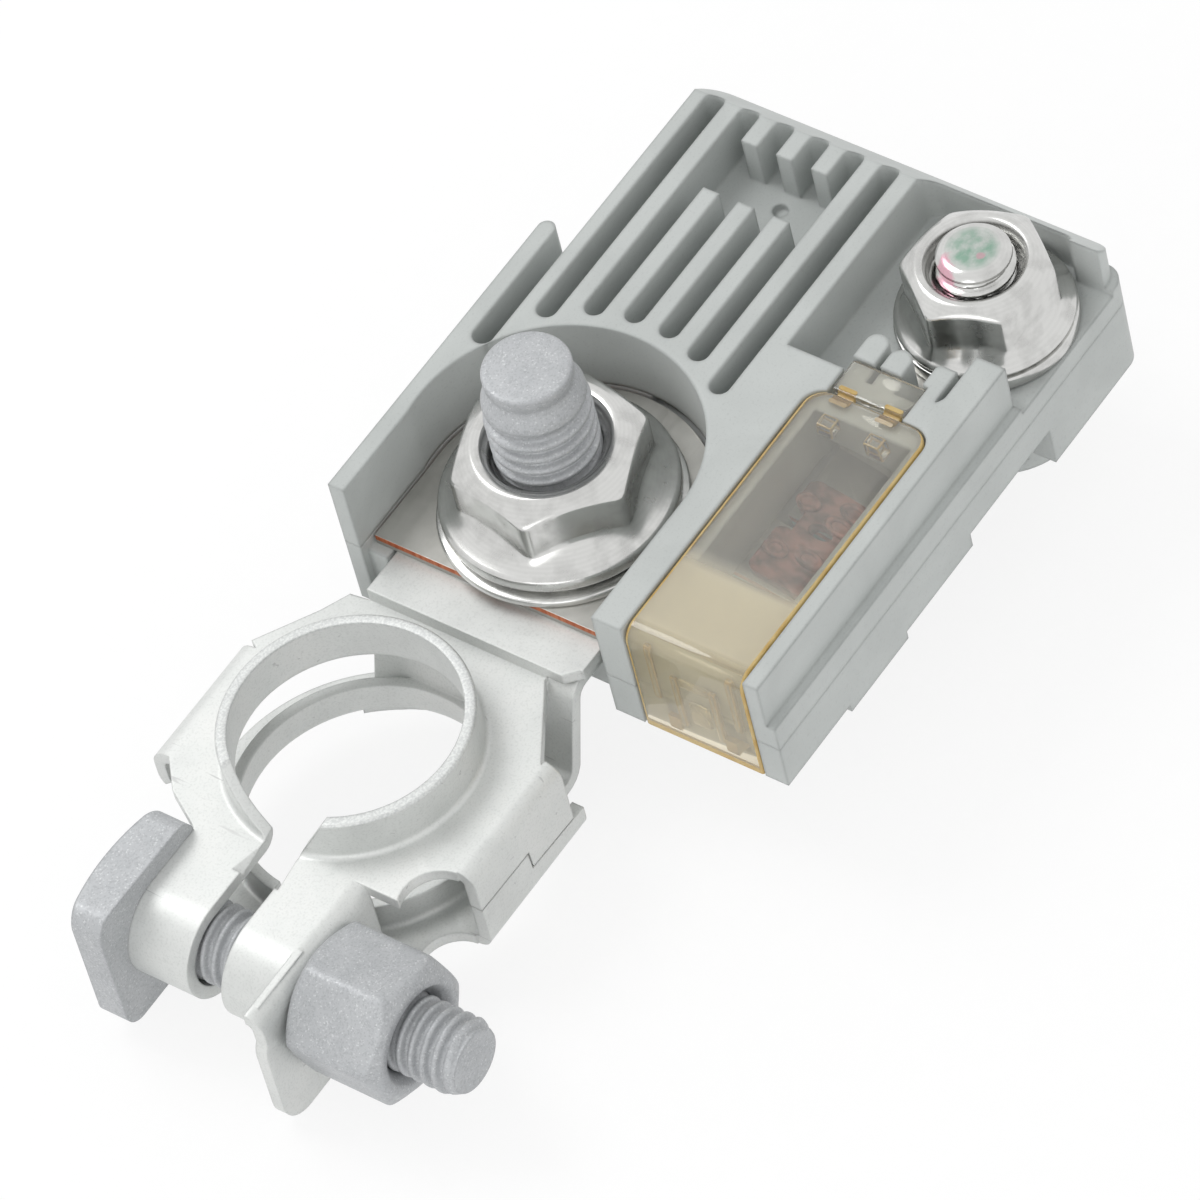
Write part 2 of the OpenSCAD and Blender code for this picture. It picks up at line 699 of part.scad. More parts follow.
// Tinned copper plate of the load stud, stepped down to the window
module load_plate() {
    strip_x = load_x - load_plate_r + 1.5;
    down_x = cavity_x1 + 1.2;
    color("silver") at_origin() difference() {
        union() {
            slab(load_bottom, load_top) {
                translate([load_x, load_y]) circle(load_plate_r);
                box2(down_x + 1.6, strip_x + 2, foot_y0, foot_y1);
            }
            across(foot_y0, foot_y1) polygon([[neck_x + neck_gap / 2, link_z], [down_x + plate_t * 0.4, link_z],
                [down_x + 2, load_bottom], [down_x + 2, load_top], [down_x + 1.4, load_top],
                [down_x - 0.2, link_top], [neck_x + neck_gap / 2, link_top]]);
        }
        translate([load_x, load_y, load_bottom - over]) cylinder(r = load_r + hole_fit, h = plate_t + 2 * over);
        rivet_holes(link_z - over, link_top + over);
    }
}

// Load stud, held by its head under the load plate
module load_stud() {
    z0 = load_bottom - load_head_h;
    color("silver") at_origin() translate([load_x, load_y, 0]) rotate_extrude() polygon([[0, z0], [load_head_r, z0],
        [load_head_r, load_bottom], [load_r, load_bottom], [load_r, load_stud_top - 1.1],
        [load_r - 0.25, load_stud_top - 0.9], [load_r - 0.25, load_stud_top - 0.5],
        [load_r - 0.8, load_stud_top], [0, load_stud_top]]);
}

// Cone washer under the load nut
module load_washer() {
    color("silver") at_origin() translate([load_x, load_y, load_top])
        cone_washer(load_washer_d / 2, load_washer_h, load_r + hole_fit, load_washer_rim);
}

// Flange nut on the load stud
module load_nut() {
    color("silver") at_origin() translate([load_x, load_y, load_nut_z]) rotate([0, 0, -7])
        flange_nut(load_af, load_h, load_flange_d / 2, load_r + thread_fit, load_rim);
}

// Plan of the housing with the arm, without its pockets
module housing_outline(right) {
    round2(stud_x, rear_x, right, body_y, 1.6);
    box2(win_x + 1.2, rear_x - 4, right, block_y);
    box2(win_x, win_x + 3, right, block_y);
    difference() {
        union() {
            slot2(arm_x - 2, arm_end_x, arm_y - arm_t / 2, arm_t);
            box2(stud_x, stud_x + 7.4, body_y - 1, arm_y);
        }
        box2(arm_x - 4, arm_x, 0, 20);
    }
}

// The well around the main stud, open towards the clamp
module well_outline(r, front) {
    translate([stud_x, stud_y]) circle(r);
    box2(front, stud_x, stud_y - r, stud_y + r - (well_r - well_front_y1 + stud_y));
}

// Slots between the ribs: their front ends follow the well
module rib_slots() {
    slab(slot_floor, top_z + over) {
        for (i = [0:slot_n - 1]) {
            y = slot1_y - i * slot_pitch;
            x = stud_x + sqrt(ring_r * ring_r - (y - stud_y) * (y - stud_y));
            slot2(x, slot_end_x, y, slot_w);
        }
        box2(recess_x0, recess_x1, slot1_y - (slot_n - 2) * slot_pitch - slot_w / 2,
            slot1_y - slot_pitch + slot_w / 2);
    }
    translate([recess_x0 + 3.3, slot1_y - 2.5 * slot_pitch, slot_floor - 0.5]) cylinder(r = 0.6, h = 2);
    slab(part_z - over, top_z + over) slot2(stud_x + 5.7, arm_end_x + 4, slot0_y, slot0_w);
}

// Pocket around the load stud, open at the side, with its floor cut away around the load plate
module load_pocket() {
    x1 = rear_x - rear_wall;
    slab(pocket_floor, top_z + over) {
        box2(block_rear_x - 1.1, x1 - 1.2, block_y - 1.6, pocket_y);
        round2(block_rear_x - 1.1, x1, post_y, pocket_y, 1.2);
        box2(block_rear_x + 0.2, x1 - 1, prong_y1, pocket_y - 2);
        box2(prong_x, x1 - 1, right_y - over, pocket_y - 2);
    }
    slab(part_z - over, pocket_floor + eps) translate([load_x, load_y]) circle(load_plate_r + hole_fit);
    slab(part_z - over, load_top + plate_gap)
        box2(cavity_x1 - 1, load_x, foot_y0 - plate_gap, foot_y1 + plate_gap);
}

// Rib ends and the slotted prong that stand in the pocket behind the lid
module pocket_ribs() {
    difference() {
        slab(pocket_floor - 0.5, top_z) {
            slot2(block_rear_x - 2.5, block_rear_x + 2.7, end_rib_y0, end_rib_w);
            slot2(block_rear_x - 2.5, block_rear_x + 2.2, end_rib_y1, end_rib_w);
            round2(block_rear_x - 3, prong_x - 1.8, prong_slot_y, prong_y1, 0.5);
            round2(block_rear_x - 3, prong_x, prong_y0, prong_slot_y, 0.9);
        }
        slab(pocket_floor, top_z + over)
            slot2(block_rear_x - 1.2, prong_x + 3, prong_slot_y, prong_slot_w);
        slab(part_z - over, load_top + plate_gap) {
            translate([load_x, load_y]) circle(load_plate_r + hole_fit);
            box2(block_rear_x - 4, load_x, foot_y0 - plate_gap, foot_y1 + plate_gap);
        }
    }
}

// Opening for the lid, its rim, the deep window and the seat of the hinge tab
module window_cut() {
    g = lid_gap;
    slab(lid_under, top_z + over) round2(win_x - 4, hinge_x + g, lid_y1 - g, lid_y + g, lid_corner + g);
    box(win_x - over, win_x + lid_t + g, lid_y1 - g, lid_y + g, part_z - over, top_z);
    box(shelf_x0, cavity_x0 + over, cavity_y0, cavity_y1, shelf_z, top_z);
    box(cavity_x0, cavity_x1, cavity_y0, cavity_y1, part_z - over, top_z);
    box(hinge_x - over, block_rear_x + g, tab_y0 - 0.1, tab_y1 + 0.1, top_z - lid_t, top_z + over);
}

// Upper housing: ribbed body, arm, well wall and window block in one moulding
module housing_upper() {
    color("silver") at_origin() difference() {
        union() {
            difference() {
                union() {
                    slab(part_z, ledge_z) housing_outline(right_y);
                    slab(ledge_z, top_z) housing_outline(right_y + side_step);
                }
                slab(part_z - over, top_z + over) well_outline(well_r, win_x - 3);
                rib_slots();
                load_pocket();
                across(right_y - over, arm_y + over) polygon([[rear_x - rear_slope, top_z],
                    [rear_x, top_z - rear_slope], [rear_x + over, top_z - rear_slope],
                    [rear_x + over, top_z + over], [rear_x - rear_slope, top_z + over]]);
            }
            pocket_ribs();
        }
        window_cut();
    }
}

// Lower housing: the tray under the plates, with the seats of both studs
module housing_lower() {
    g = 0.3;
    color("silver") at_origin() difference() {
        union() {
            slab(low_z, part_z) difference() {
                housing_outline(right_y);
                box2(win_x - over, cavity_x0, right_y - over, block_y + over);
            }
            slab(win_low_z, part_z) box2(win_x, cavity_x0 + eps, right_y, block_y);
            slab(low_z, part_z) box2(arm_x + 0.6, stud_x + 7, block_y, arm_y - 1);
            slab(boss_low_z, low_z + eps) translate([load_x, load_y]) circle(boss_r);
            slab(part_z - eps, load_bottom) {
                translate([load_x, load_y]) circle(load_plate_r);
                box2(strip_x0, load_x, foot_y0, foot_y1);
            }
        }
        slab(link_z, part_z + over) {
            well_outline(well_r, arm_x - over);
            box2(foot_x0 - g, cavity_x1 + 0.8, foot_y0 - g, stud_y);
            box2(foot_x0 - g, strip_x0, foot_y0 - g, foot_y1 + g);
        }
        slab(tail_z, link_z + eps) {
            box2(arm_x - over, stud_x, tongue_y0 - g, tongue_y1 + g);
            translate([stud_x, stud_y]) circle(tongue_w / 2 + g);
        }
        box(arm_x - over, tail_rise_x + 2.6, tongue_y0 - g, tongue_y1 + g, low_z - over, tail_z + eps);
        translate([stud_x, stud_y, tail_z - stud_head_h - g]) cylinder(r = stud_head_r + g, h = stud_head_h + 1);
        translate([load_x, load_y, load_bottom - load_head_h - g]) cylinder(r = load_head_r + g, h = 4);
        box(cavity_x0, cavity_x1, cavity_y0, cavity_y1, cavity_z, part_z + over);
        across(right_y - over, block_y) {
            box2(win_x - over, pad_x, low_z - over, mid_low_z);
            box2(pad_x - eps, pad_x + pad_len, low_z - over, pad_low_z);
            box2(pad_x + pad_len - eps, mid_x, low_z - over, mid_low_z);
            box2(mid_x - eps, rear_low_x, low_z - over, prong_low_z);
        }
        for (y = [lid_y - 2.6, lid_y1 + 2.6])
            box(win_x + 1, win_x + lid_t + lug_reach + 0.3, y - 0.8, y + 0.8, win_low_z + 0.6, win_low_z + 3.4);
        box(win_x - over, win_x + lid_t + lid_gap, lid_y1 - lid_gap, lid_y + lid_gap, win_low_z - over,
            part_z + over);
    }
}

// Half of a hinge strap, seen along the hinge: a hanging quarter ring about the hinge's axis
module strap2(side) {
    translate([hinge_axis_x, top_z]) difference() {
        circle(strap_r);
        circle(strap_r - 0.35);
        box2(-2, 2, -0.1, 2);
        box2(side > 0 ? -2 : -0.08, side > 0 ? 0.08 : 2, -2, 2);
    }
}

// Clear lid with its front leg, gussets and two snap lugs
module window_lid() {
    z1 = top_z - lid_leg;
    color("khaki") at_origin() {
        slab(lid_under, top_z) difference() {
            union() {
                box2(win_x, hinge_x - 2, lid_y1, lid_y);
                round2(win_x + 2, hinge_x, lid_y1, lid_y, lid_corner);
            }
            for (y = strap_ys) box2(hinge_axis_x - strap_r + 0.2, hinge_x + over, y, y + strap_w);
        }
        for (y = strap_ys) across(y, y + strap_w) strap2(-1);
        box(win_x, win_x + lid_t, lid_y1, lid_y, z1, lid_under + eps);
        for (y = [lid_y - 2.6, lid_y1 + 2.6])
            across(y - 0.5, y + 0.5) polygon([[win_x + lid_t - eps, z1 + 0.8], [win_x + lid_t - eps, z1 + 0.8 + lug_h],
                [win_x + lid_t + lug_reach, z1 + 0.9]]);
    }
}

// Hinge tab of the lid, fixed in the housing, with its two straps
module lid_hinge() {
    color("khaki") at_origin() {
        slab(lid_under, top_z - 0.1) difference() {
            box2(hinge_x + 0.5, block_rear_x, tab_y0, tab_y1);
            for (y = strap_ys) box2(hinge_x, hinge_axis_x + strap_r - 0.2, y, y + strap_w);
        }
        for (y = strap_ys) across(y, y + strap_w) strap2(1);
    }
}

clamp_body();
clamp_bolt();
clamp_nut();
main_stud();
main_washer();
main_nut();
link_plate();
fuse_element();
element_rivets();
load_plate();
load_stud();
load_washer();
load_nut();
housing_upper();
housing_lower();
window_lid();
lid_hinge();
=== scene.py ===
"""Fused battery terminal clamp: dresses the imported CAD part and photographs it.

Lengths in the classes are millimetres, and heights are counted from the clamp's underside, as in
the part's own source. The function `at` moves them into the row frame, which is in metres and
starts 1.6 mm higher.
"""

import json
import logging
import math
from collections.abc import Callable
from dataclasses import dataclass
from enum import Enum
from functools import partial

import bmesh
import bpy
from mathutils import Matrix, Vector

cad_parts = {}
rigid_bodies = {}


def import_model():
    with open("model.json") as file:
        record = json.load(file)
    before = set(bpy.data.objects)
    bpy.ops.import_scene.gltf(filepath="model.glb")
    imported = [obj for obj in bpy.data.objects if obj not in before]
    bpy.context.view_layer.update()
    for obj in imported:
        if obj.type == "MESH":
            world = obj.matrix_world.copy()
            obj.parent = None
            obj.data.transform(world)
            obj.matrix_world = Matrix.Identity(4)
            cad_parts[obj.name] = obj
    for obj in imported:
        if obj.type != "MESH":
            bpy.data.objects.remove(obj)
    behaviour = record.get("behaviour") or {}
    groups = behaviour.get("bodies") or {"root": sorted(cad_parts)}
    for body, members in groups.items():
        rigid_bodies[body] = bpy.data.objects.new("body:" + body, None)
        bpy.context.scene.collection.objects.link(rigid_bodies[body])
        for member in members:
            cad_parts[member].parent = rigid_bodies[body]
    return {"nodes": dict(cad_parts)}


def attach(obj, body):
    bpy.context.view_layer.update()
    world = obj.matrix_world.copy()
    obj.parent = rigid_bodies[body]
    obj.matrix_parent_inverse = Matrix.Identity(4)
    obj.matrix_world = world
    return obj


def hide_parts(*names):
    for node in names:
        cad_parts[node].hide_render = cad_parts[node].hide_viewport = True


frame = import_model()

MM = 0.001
FRAME_RISE = 1.6
LOG = logging.getLogger("terminal_clamp")

Pair = tuple[float, float]
Spot = tuple[float, float, float]
Colour = tuple[float, float, float, float]
Stops = tuple[tuple[float, str], ...]
Tree = bpy.types.NodeTree
Socket = bpy.types.NodeSocket
Material = bpy.types.Material
Mesh = bpy.types.Mesh
Solid = bmesh.types.BMesh
# Adds a node to one tree: add_node with its tree given
Adder = Callable[..., Socket]

# A mix node's colours go into places 6 and 7, and its colour comes out of place 2
MIXED = {"data_type": "RGBA", "out": 2}
DARKENED = MIXED | {"blend_type": "MULTIPLY"}


def at(x: float, y: float, z: float) -> Vector:
    """Turns a measured place into the row frame.

    Args:
        x: Distance from the post bore along the clamp, in millimetres.
        y: Distance across the clamp, in millimetres.
        z: Height above the clamp's underside, in millimetres.

    Returns:
        The same place in metres.
    """
    return Vector((x, y, z - FRAME_RISE)) * MM


def per(size: float) -> float:
    """Gives the scale of a pattern whose features have this size in millimetres."""
    return 1 / (size * MM)


def srgb(code: str) -> Colour:
    """Turns an sRGB hex code into a linear colour.

    Args:
        code: Six hex digits.

    Returns:
        Red, green, blue and an alpha of one, all linear.
    """
    parts = [int(code[i : i + 2], 16) / 255 for i in (0, 2, 4)]
    linear = [c / 12.92 if c <= 0.04045 else ((c + 0.055) / 1.055) ** 2.4 for c in parts]
    return (linear[0], linear[1], linear[2], 1.0)


WHITE = srgb("FFFFFF")


def feed(node: bpy.types.Node, *values: object, **inputs: object) -> None:
    """Sets or links the inputs of a node.

    Args:
        node: The node.
        *values: What goes into its first inputs, in order: a value, or the output to link.
        **inputs: What goes into the others. A name stands for the socket of that name with its
            spaces as underscores, and i6 for the one in place 6.
    """
    named = {int(n[1:]) if n[1:].isdigit() else n.replace("_", " "): v for n, v in inputs.items()}
    for key, value in [*enumerate(values), *named.items()]:
        if isinstance(value, Socket):
            node.id_data.links.new(value, node.inputs[key])
        else:
            node.inputs[key].default_value = value


def add_node(
    tree: Tree, kind: str, *values: object, out: int | str = 0, stops: Stops = (), **rest: object
) -> Socket:
    """Adds one node to a tree, with its settings and links.

    Args:
        tree: The shader or geometry tree.
        kind: The node's type, without its first word where that is ShaderNode.
        *values: What goes into its first inputs.
        out: The output that is wanted; the others are reached through its node.
        stops: Places along a colour ramp, with their hex codes.
        **rest: The other inputs, which begin with a capital or are i and a place, and settings.

    Returns:
        The output.
    """
    node = tree.nodes.new(kind if "Node" in kind else "ShaderNode" + kind)
    inputs = {n: value for n, value in rest.items() if n[0].isupper() or n[1:].isdigit()}
    for name, value in rest.items():
        if name not in inputs:
            setattr(node, name, value)
    feed(node, *values, **inputs)
    if stops:
        band = node.color_ramp.elements
        while len(band) < len(stops):
            band.new(0.5)
        for element, (place, code) in zip(band, stops):
            element.position = place
            element.color = srgb(code)
    return node.outputs[out]


class Surface(Enum):
    """The finishes that the object's pieces have, by the record's material slot."""

    TINNED_SHEET = "tinned_sheet"
    ZINC_FLAKE = "zinc_flake"
    BRIGHT_STEEL = "bright_steel"
    TINNED_COPPER = "tinned_copper"
    FUSE_ALLOY = "fuse_alloy"
    GREY_PLASTIC = "grey_plastic"
    CLEAR_PLASTIC = "clear_plastic"


@dataclass(frozen=True)
class Finish:
    """A finish, whose patterns lie on Object coordinates and feed one Principled shader."""

    name: str

    def inputs(self, add: Adder, place: Socket) -> dict[str, object]:
        """Works out the shader's inputs.

        Args:
            add: Adds a node to the material's tree.
            place: Object coordinates, in metres.

        Returns:
            The value or output for each input.
        """
        raise NotImplementedError

    def build(self) -> Material:
        """Builds the material.

        Returns:
            The finished material.
        """
        material = bpy.data.materials.new(self.name)
        material.use_nodes = True
        tree = material.node_tree
        add = partial(add_node, tree)
        shader_inputs = self.inputs(add, add("TexCoord", out="Object"))
        feed(tree.nodes["Principled BSDF"], **shader_inputs)
        return material


@dataclass(frozen=True)
class TinnedSheet(Finish):
    """Steel sheet, pressed and then plated with matte tin.

    Tin gives the eye a soft, white metal with a fine tooth, cloudy in patches, with fine handling
    scratches. The sheared rim of the collar stays coarser and greyer.
    """

    name: str = "steel_sheet_pressed_matte_tin_plated"
    colour: str = "D8DAD8"
    cloud: str = "CED0CE"
    light: str = "DFE0DE"
    shear: str = "C6C8C7"
    scratched: str = "C2C3C2"
    roughness: float = 0.48
    cloud_mm: float = 6.0
    # Crystals of the plating are about 0.02 mm, drawn at 0.18 mm so that they show
    crystal_mm: float = 0.18
    scratch_mm: float = 0.5
    rim_z: float = 11.75
    rim_fade: float = 0.15
    edge_r: float = 0.22

    def inputs(self, add: Adder, place: Socket) -> dict[str, object]:
        """Works out the shader's inputs.

        Args:
            add: Adds a node to the material's tree.
            place: Object coordinates, in metres.

        Returns:
            The value or output for each input.
        """
        cloud = add("TexNoise", place, Scale=per(self.cloud_mm), Detail=5.0, Roughness=0.6)
        grain = add("TexNoise", place, Scale=per(self.crystal_mm), Detail=3.0)
        lay = add("Mapping", place, Rotation=(0.0, 0.0, 0.8), Scale=(1.0, 0.09, 1.0))
        hair = add("TexNoise", lay, Scale=per(self.scratch_mm), Detail=2.0, Distortion=0.6)
        scratch = add("MapRange", hair, 0.7, 0.75, 0.0, 1.0)
        height = add("SeparateXYZ", place, out="Z")
        low = (self.rim_z - FRAME_RISE) * MM
        rim = add("MapRange", height, low, low + self.rim_fade * MM, 0.0, 1.0)
        tooth = add("MapRange", grain, 0.35, 0.65, 0.0, 1.0)
        patches = add("MapRange", cloud, 0.3, 0.7, 0.0, 1.0)
        shades = ((0.0, self.cloud), (0.5, self.colour), (1.0, self.light))
        tone = add("ValToRGB", patches, stops=shades)
        fleck = add("ValToRGB", grain, stops=((0.3, "DCDDDC"), (0.5, "FFFFFF")))
        flecked = add("Mix", 0.35, i6=tone, i7=fleck, **DARKENED)
        lined = add("Mix", scratch, i6=flecked, i7=srgb(self.scratched), **MIXED)
        torn = add("ValToRGB", tooth, stops=((0.2, self.shear), (0.9, self.colour)))
        sheared = add("Mix", rim, i6=lined, i7=torn, **MIXED)
        dull, fair = self.roughness - 0.05, self.roughness + 0.08
        rough = add("MapRange", cloud, 0.25, 0.75, dull, fair)
        edge = add("Bevel", self.edge_r * MM, samples=6)
        fine = add("Bump", Strength=0.22, Distance=0.02 * MM, Height=grain, Normal=edge)
        cuts = add("Bump", Strength=-0.25, Distance=0.02 * MM, Height=scratch, Normal=fine)
        swell = add("Bump", Strength=0.22, Distance=0.1 * MM, Height=cloud, Normal=cuts)
        return dict(Base_Color=sheared, Metallic=0.55, Roughness=rough, Normal=swell)


@dataclass(frozen=True)
class ZincFlake(Finish):
    """Cold-headed steel, dipped and baked in a zinc flake coating.

    The flakes give the eye a dull, even grey that sparkles in fine specks.
    """

    name: str = "steel_headed_zinc_flake_coated"
    colour: str = "BABCBE"
    dark: str = "ADAFB1"
    speck: str = "CFD1D2"
    # Real flakes are about 0.02 mm, drawn at 0.11 mm so that their sparkle shows
    flake_mm: float = 0.11
    cloud_mm: float = 2.2
    roughness: float = 0.5
    edge_r: float = 0.3

    def inputs(self, add: Adder, place: Socket) -> dict[str, object]:
        """Works out the shader's inputs.

        Args:
            add: Adds a node to the material's tree.
            place: Object coordinates, in metres.

        Returns:
            The value or output for each input.
        """
        scale = per(self.flake_mm)
        flake = add("TexVoronoi", Vector=place, Scale=scale, Randomness=1.0, out="Color")
        pick = add("SeparateColor", flake)
        cloud = add("TexNoise", place, Scale=per(self.cloud_mm), Detail=4.0)
        shades = ((0.0, self.dark), (0.4, self.colour), (0.9, self.colour), (1.0, self.speck))
        tone = add("ValToRGB", pick, stops=shades)
        wear = add("ValToRGB", cloud, stops=((0.3, "E2E3E4"), (0.7, "FFFFFF")))
        worn = add("Mix", 0.5, i6=tone, i7=wear, **DARKENED)
        dull, bright = self.roughness + 0.08, self.roughness - 0.06
        rough = add("MapRange", pick, 0.0, 1.0, dull, bright)
        edge = add("Bevel", self.edge_r * MM, samples=6)
        bump = add("Bump", Strength=0.18, Distance=0.015 * MM, Height=pick, Normal=edge)
        return dict(Base_Color=worn, Metallic=0.35, Roughness=rough, Normal=bump)


@dataclass(frozen=True)
class BrightSteel(Finish):
    """Cold-formed steel, turned on its round faces, barrel polished and bright plated.

    It mirrors the room in soft light and dark bands, broken by fine rings from the turning tool and
    by a grey bloom where the barrel's stones didn't reach.

    Attributes:
        centre: A point on the axis that the tool's rings run around.
        colour: The polished metal.
        bloom: The metal that stayed duller.
        green: Paint all over the stud's end.
        pink: Paint dabbed beside it.
        roughness: Mean roughness.
        ring_mm: Spacing of the tool's rings.
        cloud_mm: Size of the bloom's patches.
        paint_mm: Size of the paint's ragged patches.
        marks_z: Height above which inspection paint shows, or None where there is none.
    """

    centre: Spot
    colour: str = "D4D4D2"
    bloom: str = "C6C6C4"
    green: str = "7FA591"
    pink: str = "D98BA4"
    roughness: float = 0.2
    ring_mm: float = 0.28
    cloud_mm: float = 1.6
    paint_mm: float = 0.9
    marks_z: float | None = None

    def marked(self, add: Adder, place: Socket, tone: Socket) -> Socket:
        """Dabs two colours of inspection paint on the end of the stud.

        Args:
            add: Adds a node to the material's tree.
            place: Coordinates counted from the centre.
            tone: The metal's colour.

        Returns:
            The colour with the dabs.
        """
        axes = add("SeparateXYZ", place).node.outputs
        end = (self.marks_z - self.centre[2]) * MM
        flat = add("CombineXYZ", axes["X"], axes["Y"])
        reach = add("VectorMath", flat, operation="LENGTH", out="Value")
        top = add("MapRange", axes["Z"], end - 0.05 * MM, end, 0.0, 0.85)
        middle = add("MapRange", reach, 1.3 * MM, 2.2 * MM, 1.0, 0.0)
        patches = add("TexNoise", place, Scale=per(self.paint_mm), Detail=6.0)
        thin = add("MapRange", patches, 0.35, 0.6, 0.3, 1.0)
        film = add("Math", thin, middle, operation="MULTIPLY")
        both = add("Math", film, top, operation="MULTIPLY")
        dabbed = add("Mix", both, i6=tone, i7=srgb(self.green), **MIXED)
        for x, y, size, depth in ((-0.33, -0.9, 0.42, 0.45), (-2.63, 0.97, 1.1, 0.6)):
            spot = (x * MM, y * MM, 0.0)
            off = add("VectorMath", flat, spot, operation="SUBTRACT")
            away = add("VectorMath", off, operation="LENGTH", out="Value")
            rags = add("MapRange", patches, 0.3, 0.7, 0.6, 1.6)
            ragged = add("Math", away, rags, operation="MULTIPLY")
            dab = add("MapRange", ragged, size * 0.6 * MM, size * MM, depth, 0.0)
            dabbed = add("Mix", dab, i6=dabbed, i7=srgb(self.pink), **MIXED)
        return dabbed

    def inputs(self, add: Adder, place: Socket) -> dict[str, object]:
        """Works out the shader's inputs.

        Args:
            add: Adds a node to the material's tree.
            place: Object coordinates, in metres.

        Returns:
            The value or output for each input.
        """
        centred = add("Mapping", place, tuple(-at(*self.centre)))
        wave = add(
            "TexWave",
            centred,
            wave_type="RINGS",
            rings_direction="Z",
            # A wave node's phase runs 20 times as fast as its scale
            Scale=math.tau / (20 * self.ring_mm * MM),
            Distortion=0.8,
            Detail=3.0,
            out="Fac",
        )
        cloud = add("TexNoise", centred, Scale=per(self.cloud_mm), Detail=6.0)
        tone = add("ValToRGB", cloud, stops=((0.36, self.bloom), (0.56, self.colour)))
        rings = add("ValToRGB", wave, stops=((0.2, "C4C4C2"), (0.8, "FFFFFF")))
        shown = add("Mix", 0.06, i6=tone, i7=rings, **DARKENED)
        if self.marks_z is not None:
            shown = self.marked(add, centred, shown)
        dull, bright = self.roughness + 0.08, self.roughness - 0.04
        rough = add("MapRange", cloud, 0.35, 0.65, dull, bright)
        bump = add("Bump", Strength=0.012, Distance=0.01 * MM, Height=wave)
        dent = add("Bump", Strength=0.06, Distance=0.03 * MM, Height=cloud, Normal=bump)
        return dict(Base_Color=shown, Metallic=1.0, Roughness=rough, Normal=dent)


@dataclass(frozen=True)
class TinnedTop(Finish):
    """Tinned face of the copper plates: rolled, tin plated, faintly brushed along."""

    name: str = "copper_strip_rolled_tin_plated"
    colour: str = "C0BFBA"
    cloud: str = "ACABA6"
    roughness: float = 0.36
    brush_mm: float = 0.3
    cloud_mm: float = 3

    def inputs(self, add: Adder, place: Socket) -> dict[str, object]:
        """Works out the shader's inputs.

        Args:
            add: Adds a node to the material's tree.
            place: Object coordinates, in metres.

        Returns:
            The value or output for each input.
        """
        lay = add("Mapping", place, Scale=(0.05, 1.0, 1.0))
        brush = add("TexNoise", lay, Scale=per(self.brush_mm), Detail=3.0)
        cloud = add("TexNoise", place, Scale=per(self.cloud_mm), Detail=4.0)
        tone = add("ValToRGB", cloud, stops=((0.3, self.cloud), (0.65, self.colour)))
        fine, coarse = self.roughness - 0.06, self.roughness + 0.1
        rough = add("MapRange", brush, 0.3, 0.7, fine, coarse)
        bump = add("Bump", Strength=0.15, Distance=0.01 * MM, Height=brush)
        return dict(Base_Color=tone, Metallic=0.8, Roughness=rough, Normal=bump)


@dataclass(frozen=True)
class ShearedCopper(Finish):
    """Cut edge of the copper plates, sheared bare.

    It gives the eye an orange band with upright tearing lines, whose lighter streaks carry a
    painted highlight of the rim, and over which the blade has dragged the tin along the lower half.

    Attributes:
        colour: Bare copper.
        light: The tearing streaks' lighter copper, in part burnished by the blade and in part a
            painted highlight of the rim.
        tin: The dragged tin.
        tear_mm: Spacing of the tearing lines.
        bare: Lowest and highest place of the bare band, counted from the clamp's underside.
    """

    name: str = "copper_strip_sheared_edge"
    colour: str = "A8502C"
    light: str = "C77A52"
    tin: str = "A5A39D"
    tear_mm: float = 0.35
    bare: Pair = (9.98, 10.06)

    def inputs(self, add: Adder, place: Socket) -> dict[str, object]:
        """Works out the shader's inputs.

        Args:
            add: Adds a node to the material's tree.
            place: Object coordinates, in metres.

        Returns:
            The value or output for each input.
        """
        lay = add("Mapping", place, Scale=(1.0, 1.0, 0.1))
        tear = add("TexNoise", lay, Scale=per(self.tear_mm), Detail=3.0)
        height = add("SeparateXYZ", place, out="Z")
        low, high = ((value - FRAME_RISE) * MM for value in self.bare)
        share = add("MapRange", height, low, high, 0.0, 1.0)
        # Tearing streaks of bare copper; their lighter tone is a painted highlight of the rim
        band = add("ValToRGB", tear, stops=((0.3, self.colour), (0.7, self.light)))
        tone = add("Mix", share, i6=srgb(self.tin), i7=band, **MIXED)
        rough = add("MapRange", tear, 0.3, 0.7, 0.52, 0.38)
        bump = add("Bump", Strength=0.3, Distance=0.02 * MM, Height=tear)
        return dict(Base_Color=tone, Metallic=0.7, Roughness=rough, Normal=bump)


@dataclass(frozen=True)
class FuseAlloy(Finish):
    """Copper alloy of the fuse element, stamped and darkened: dull red-brown with darker clouds."""

    name: str = "copper_alloy_stamped_tarnished"
    colour: str = "B57C70"
    dark: str = "64413B"
    cloud_mm: float = 0.9

    def inputs(self, add: Adder, place: Socket) -> dict[str, object]:
        """Works out the shader's inputs.

        Args:
            add: Adds a node to the material's tree.
            place: Object coordinates, in metres.

        Returns:
            The value or output for each input.
        """
        cloud = add("TexNoise", place, Scale=per(self.cloud_mm), Detail=5.0)
        tone = add("ValToRGB", cloud, stops=((0.35, self.dark), (0.62, self.colour)))
        rough = add("MapRange", cloud, 0.3, 0.7, 0.6, 0.4)
        bump = add("Bump", Strength=0.3, Distance=0.03 * MM, Height=cloud)
        return dict(Base_Color=tone, Metallic=0.35, Roughness=rough, Normal=bump)


